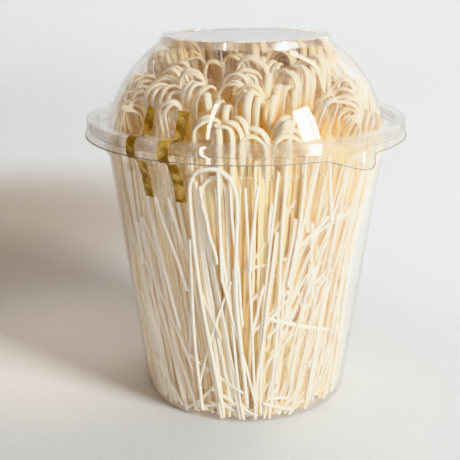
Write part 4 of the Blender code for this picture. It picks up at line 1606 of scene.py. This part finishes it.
BACKDROP_LAMP = (0.3, 0.45, 1.1)
BACKDROP_TARGET = (0.25, 1.25, 0.35)
BACKDROP_LAMP_SIZE = (0.9, 0.3)
BACKDROP_POWER = 4.3
# The floor's outline, rising into the backdrop: radius, height and rounding
FLOOR_CORNERS = ((0.0, 0.0, 0.0), (1.3, 0.0, 0.45), (1.3, 1.3, 0.0))
ROOM_LEFT = (0.53, 0.335, 0.205)
ROOM_RIGHT = (0.80, 0.75, 0.70)
ROOM_ABOVE = (0.34, 0.315, 0.29)
ROOM_TURN = (-0.6, 0.7)
ROOM_RISE = (0.15, 0.9)
CLEAR_BOUNCES = 32
SOFT_BOUNCES = 12
NEAREST_SEEN = 0.01


def soft_room():
    """The light from all round: warm and dim at the left, pale at the right, dimmer above."""
    world = bpy.data.worlds.new("soft room")
    world.use_nodes = True
    room = Finish("room", world.node_tree)
    way = room.node("ShaderNodeTexCoord").outputs["Generated"]
    x, _, z = room.parts(way)
    round_about = room.mix(x.step(*ROOM_TURN), ROOM_LEFT, ROOM_RIGHT)
    light = room.mix(z.step(*ROOM_RISE), round_about, ROOM_ABOVE)
    background = room.node("ShaderNodeBackground", sockets={"Color": light}).outputs[0]
    room.node("ShaderNodeOutputWorld", sockets={"Surface": background})
    return world


def make_camera():
    pitch, yaw, roll = CAMERA_PITCH, CAMERA_YAW, CAMERA_ROLL
    ahead = Vector((math.sin(yaw) * math.cos(pitch), math.cos(yaw) * math.cos(pitch), -math.sin(pitch)))
    right = ahead.cross(Vector((0.0, 0.0, 1.0))).normalized()
    above = right.cross(ahead)
    tilted_right = right * math.cos(roll) + above * math.sin(roll)
    tilted_above = above * math.cos(roll) - right * math.sin(roll)
    lens = bpy.data.cameras.new("camera")
    lens.lens = CAMERA_LENS
    lens.sensor_width = CAMERA_SENSOR
    lens.clip_start = NEAREST_SEEN
    camera = bpy.data.objects.new("camera", lens)
    turn = Matrix((tilted_right, tilted_above, -ahead)).transposed().to_4x4()
    camera.matrix_world = Matrix.Translation(CAMERA_PLACE) @ turn
    bpy.context.scene.collection.objects.link(camera)
    bpy.context.scene.camera = camera


def round_the_lid(azimuth, elevation, distance):
    """A place seen from the lid at an azimuth and an elevation in degrees."""
    level = distance * math.cos(math.radians(elevation))
    height = LAMP_TARGET[2] + distance * math.sin(math.radians(elevation))
    return on_azimuth(level, math.radians(azimuth), height)


def lamp(name, place, target, size, power, colour, kind):
    """A soft rectangular lamp: plain, one that only shows where it is mirrored, or one that never does."""
    light = bpy.data.lights.new(name, "AREA")
    light.shape = "RECTANGLE"
    light.size, light.size_y = size
    light.energy = power
    light.color = colour
    obj = bpy.data.objects.new(name, light)
    obj.location = place
    obj.rotation_euler = (Vector(target) - Vector(place)).to_track_quat("-Z", "Y").to_euler()
    obj.visible_camera = False
    obj.visible_diffuse = kind != "mirrored"
    obj.visible_glossy = kind != "unmirrored"
    bpy.context.scene.collection.objects.link(obj)
    return obj


def make_studio():
    """The floor, the room's light and the lamps. Gives back the lamps that only show where mirrored."""
    floor = turned("floor", rounded(FLOOR_CORNERS)[::-1], pale_floor())
    floor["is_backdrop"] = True
    bpy.context.scene.world = soft_room()
    glints = []
    for name, place, size, power, colour, kind in LAMPS:
        made = lamp(name, round_the_lid(*place), LAMP_TARGET, size, power, colour, kind)
        if kind == "mirrored":
            glints.append(made)
    backdrop = (BACKDROP_LAMP_SIZE, BACKDROP_POWER, BACKDROP_LIGHT, "plain")
    lamp("backdrop", BACKDROP_LAMP, BACKDROP_TARGET, *backdrop)
    scene = bpy.context.scene
    scene.view_settings.view_transform = "Khronos PBR Neutral"
    scene.cycles.max_bounces = CLEAR_BOUNCES
    scene.cycles.transmission_bounces = CLEAR_BOUNCES
    scene.cycles.transparent_max_bounces = CLEAR_BOUNCES
    scene.cycles.diffuse_bounces = SOFT_BOUNCES
    return glints


def only_light(lamps, pieces):
    """Keeps the light of some lamps to some pieces."""
    lit = bpy.data.collections.new("lit by glints")
    for piece in pieces:
        lit.objects.link(piece)
    for glint in lamps:
        glint.light_linking.receiver_collection = lit


# How strong the painted shade on each sheet's cut edge is
CUP_EDGE_SHARE = 0.15
LID_EDGE_SHARE = 0.6


def main():
    draw = np.random.default_rng(DRAW_SEED)
    make_camera()
    glints = make_studio()
    cup = make_cup(clear_plastic("clear cup sheet", CUP_EDGE_SHARE))
    lid = make_lid(clear_plastic("clear lid sheet", LID_EDGE_SHARE))
    seal = make_seal(sealing_film())
    only_light(glints, (cup, lid, seal))
    straight = dried_noodle("dried straight noodle", **STRAIGHT_NOODLE)
    bent = dried_noodle("dried noodle bend", **NOODLE_BEND)
    bends = make_bends(draw, bent)
    strands = make_strands(draw, straight)
    broken = make_broken(draw, straight)
    core = make_core(packed_depth())
    for piece, node, slot in (
        (cup, "cup", "clear_cup"),
        (lid, "lid", "clear_lid"),
        (seal, "seal", "seal_tape"),
        (core, "somen", "dried_noodle"),
        (bends, "somen", "dried_noodle"),
        (strands, "somen", "dried_noodle"),
        (broken, "somen", "dried_noodle"),
    ):
        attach(piece, "root")
        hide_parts(node)


main()
boxes = {"cad": cad_box, "visual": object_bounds()}
{name: [list(corner) for corner in box] for name, box in boxes.items()}
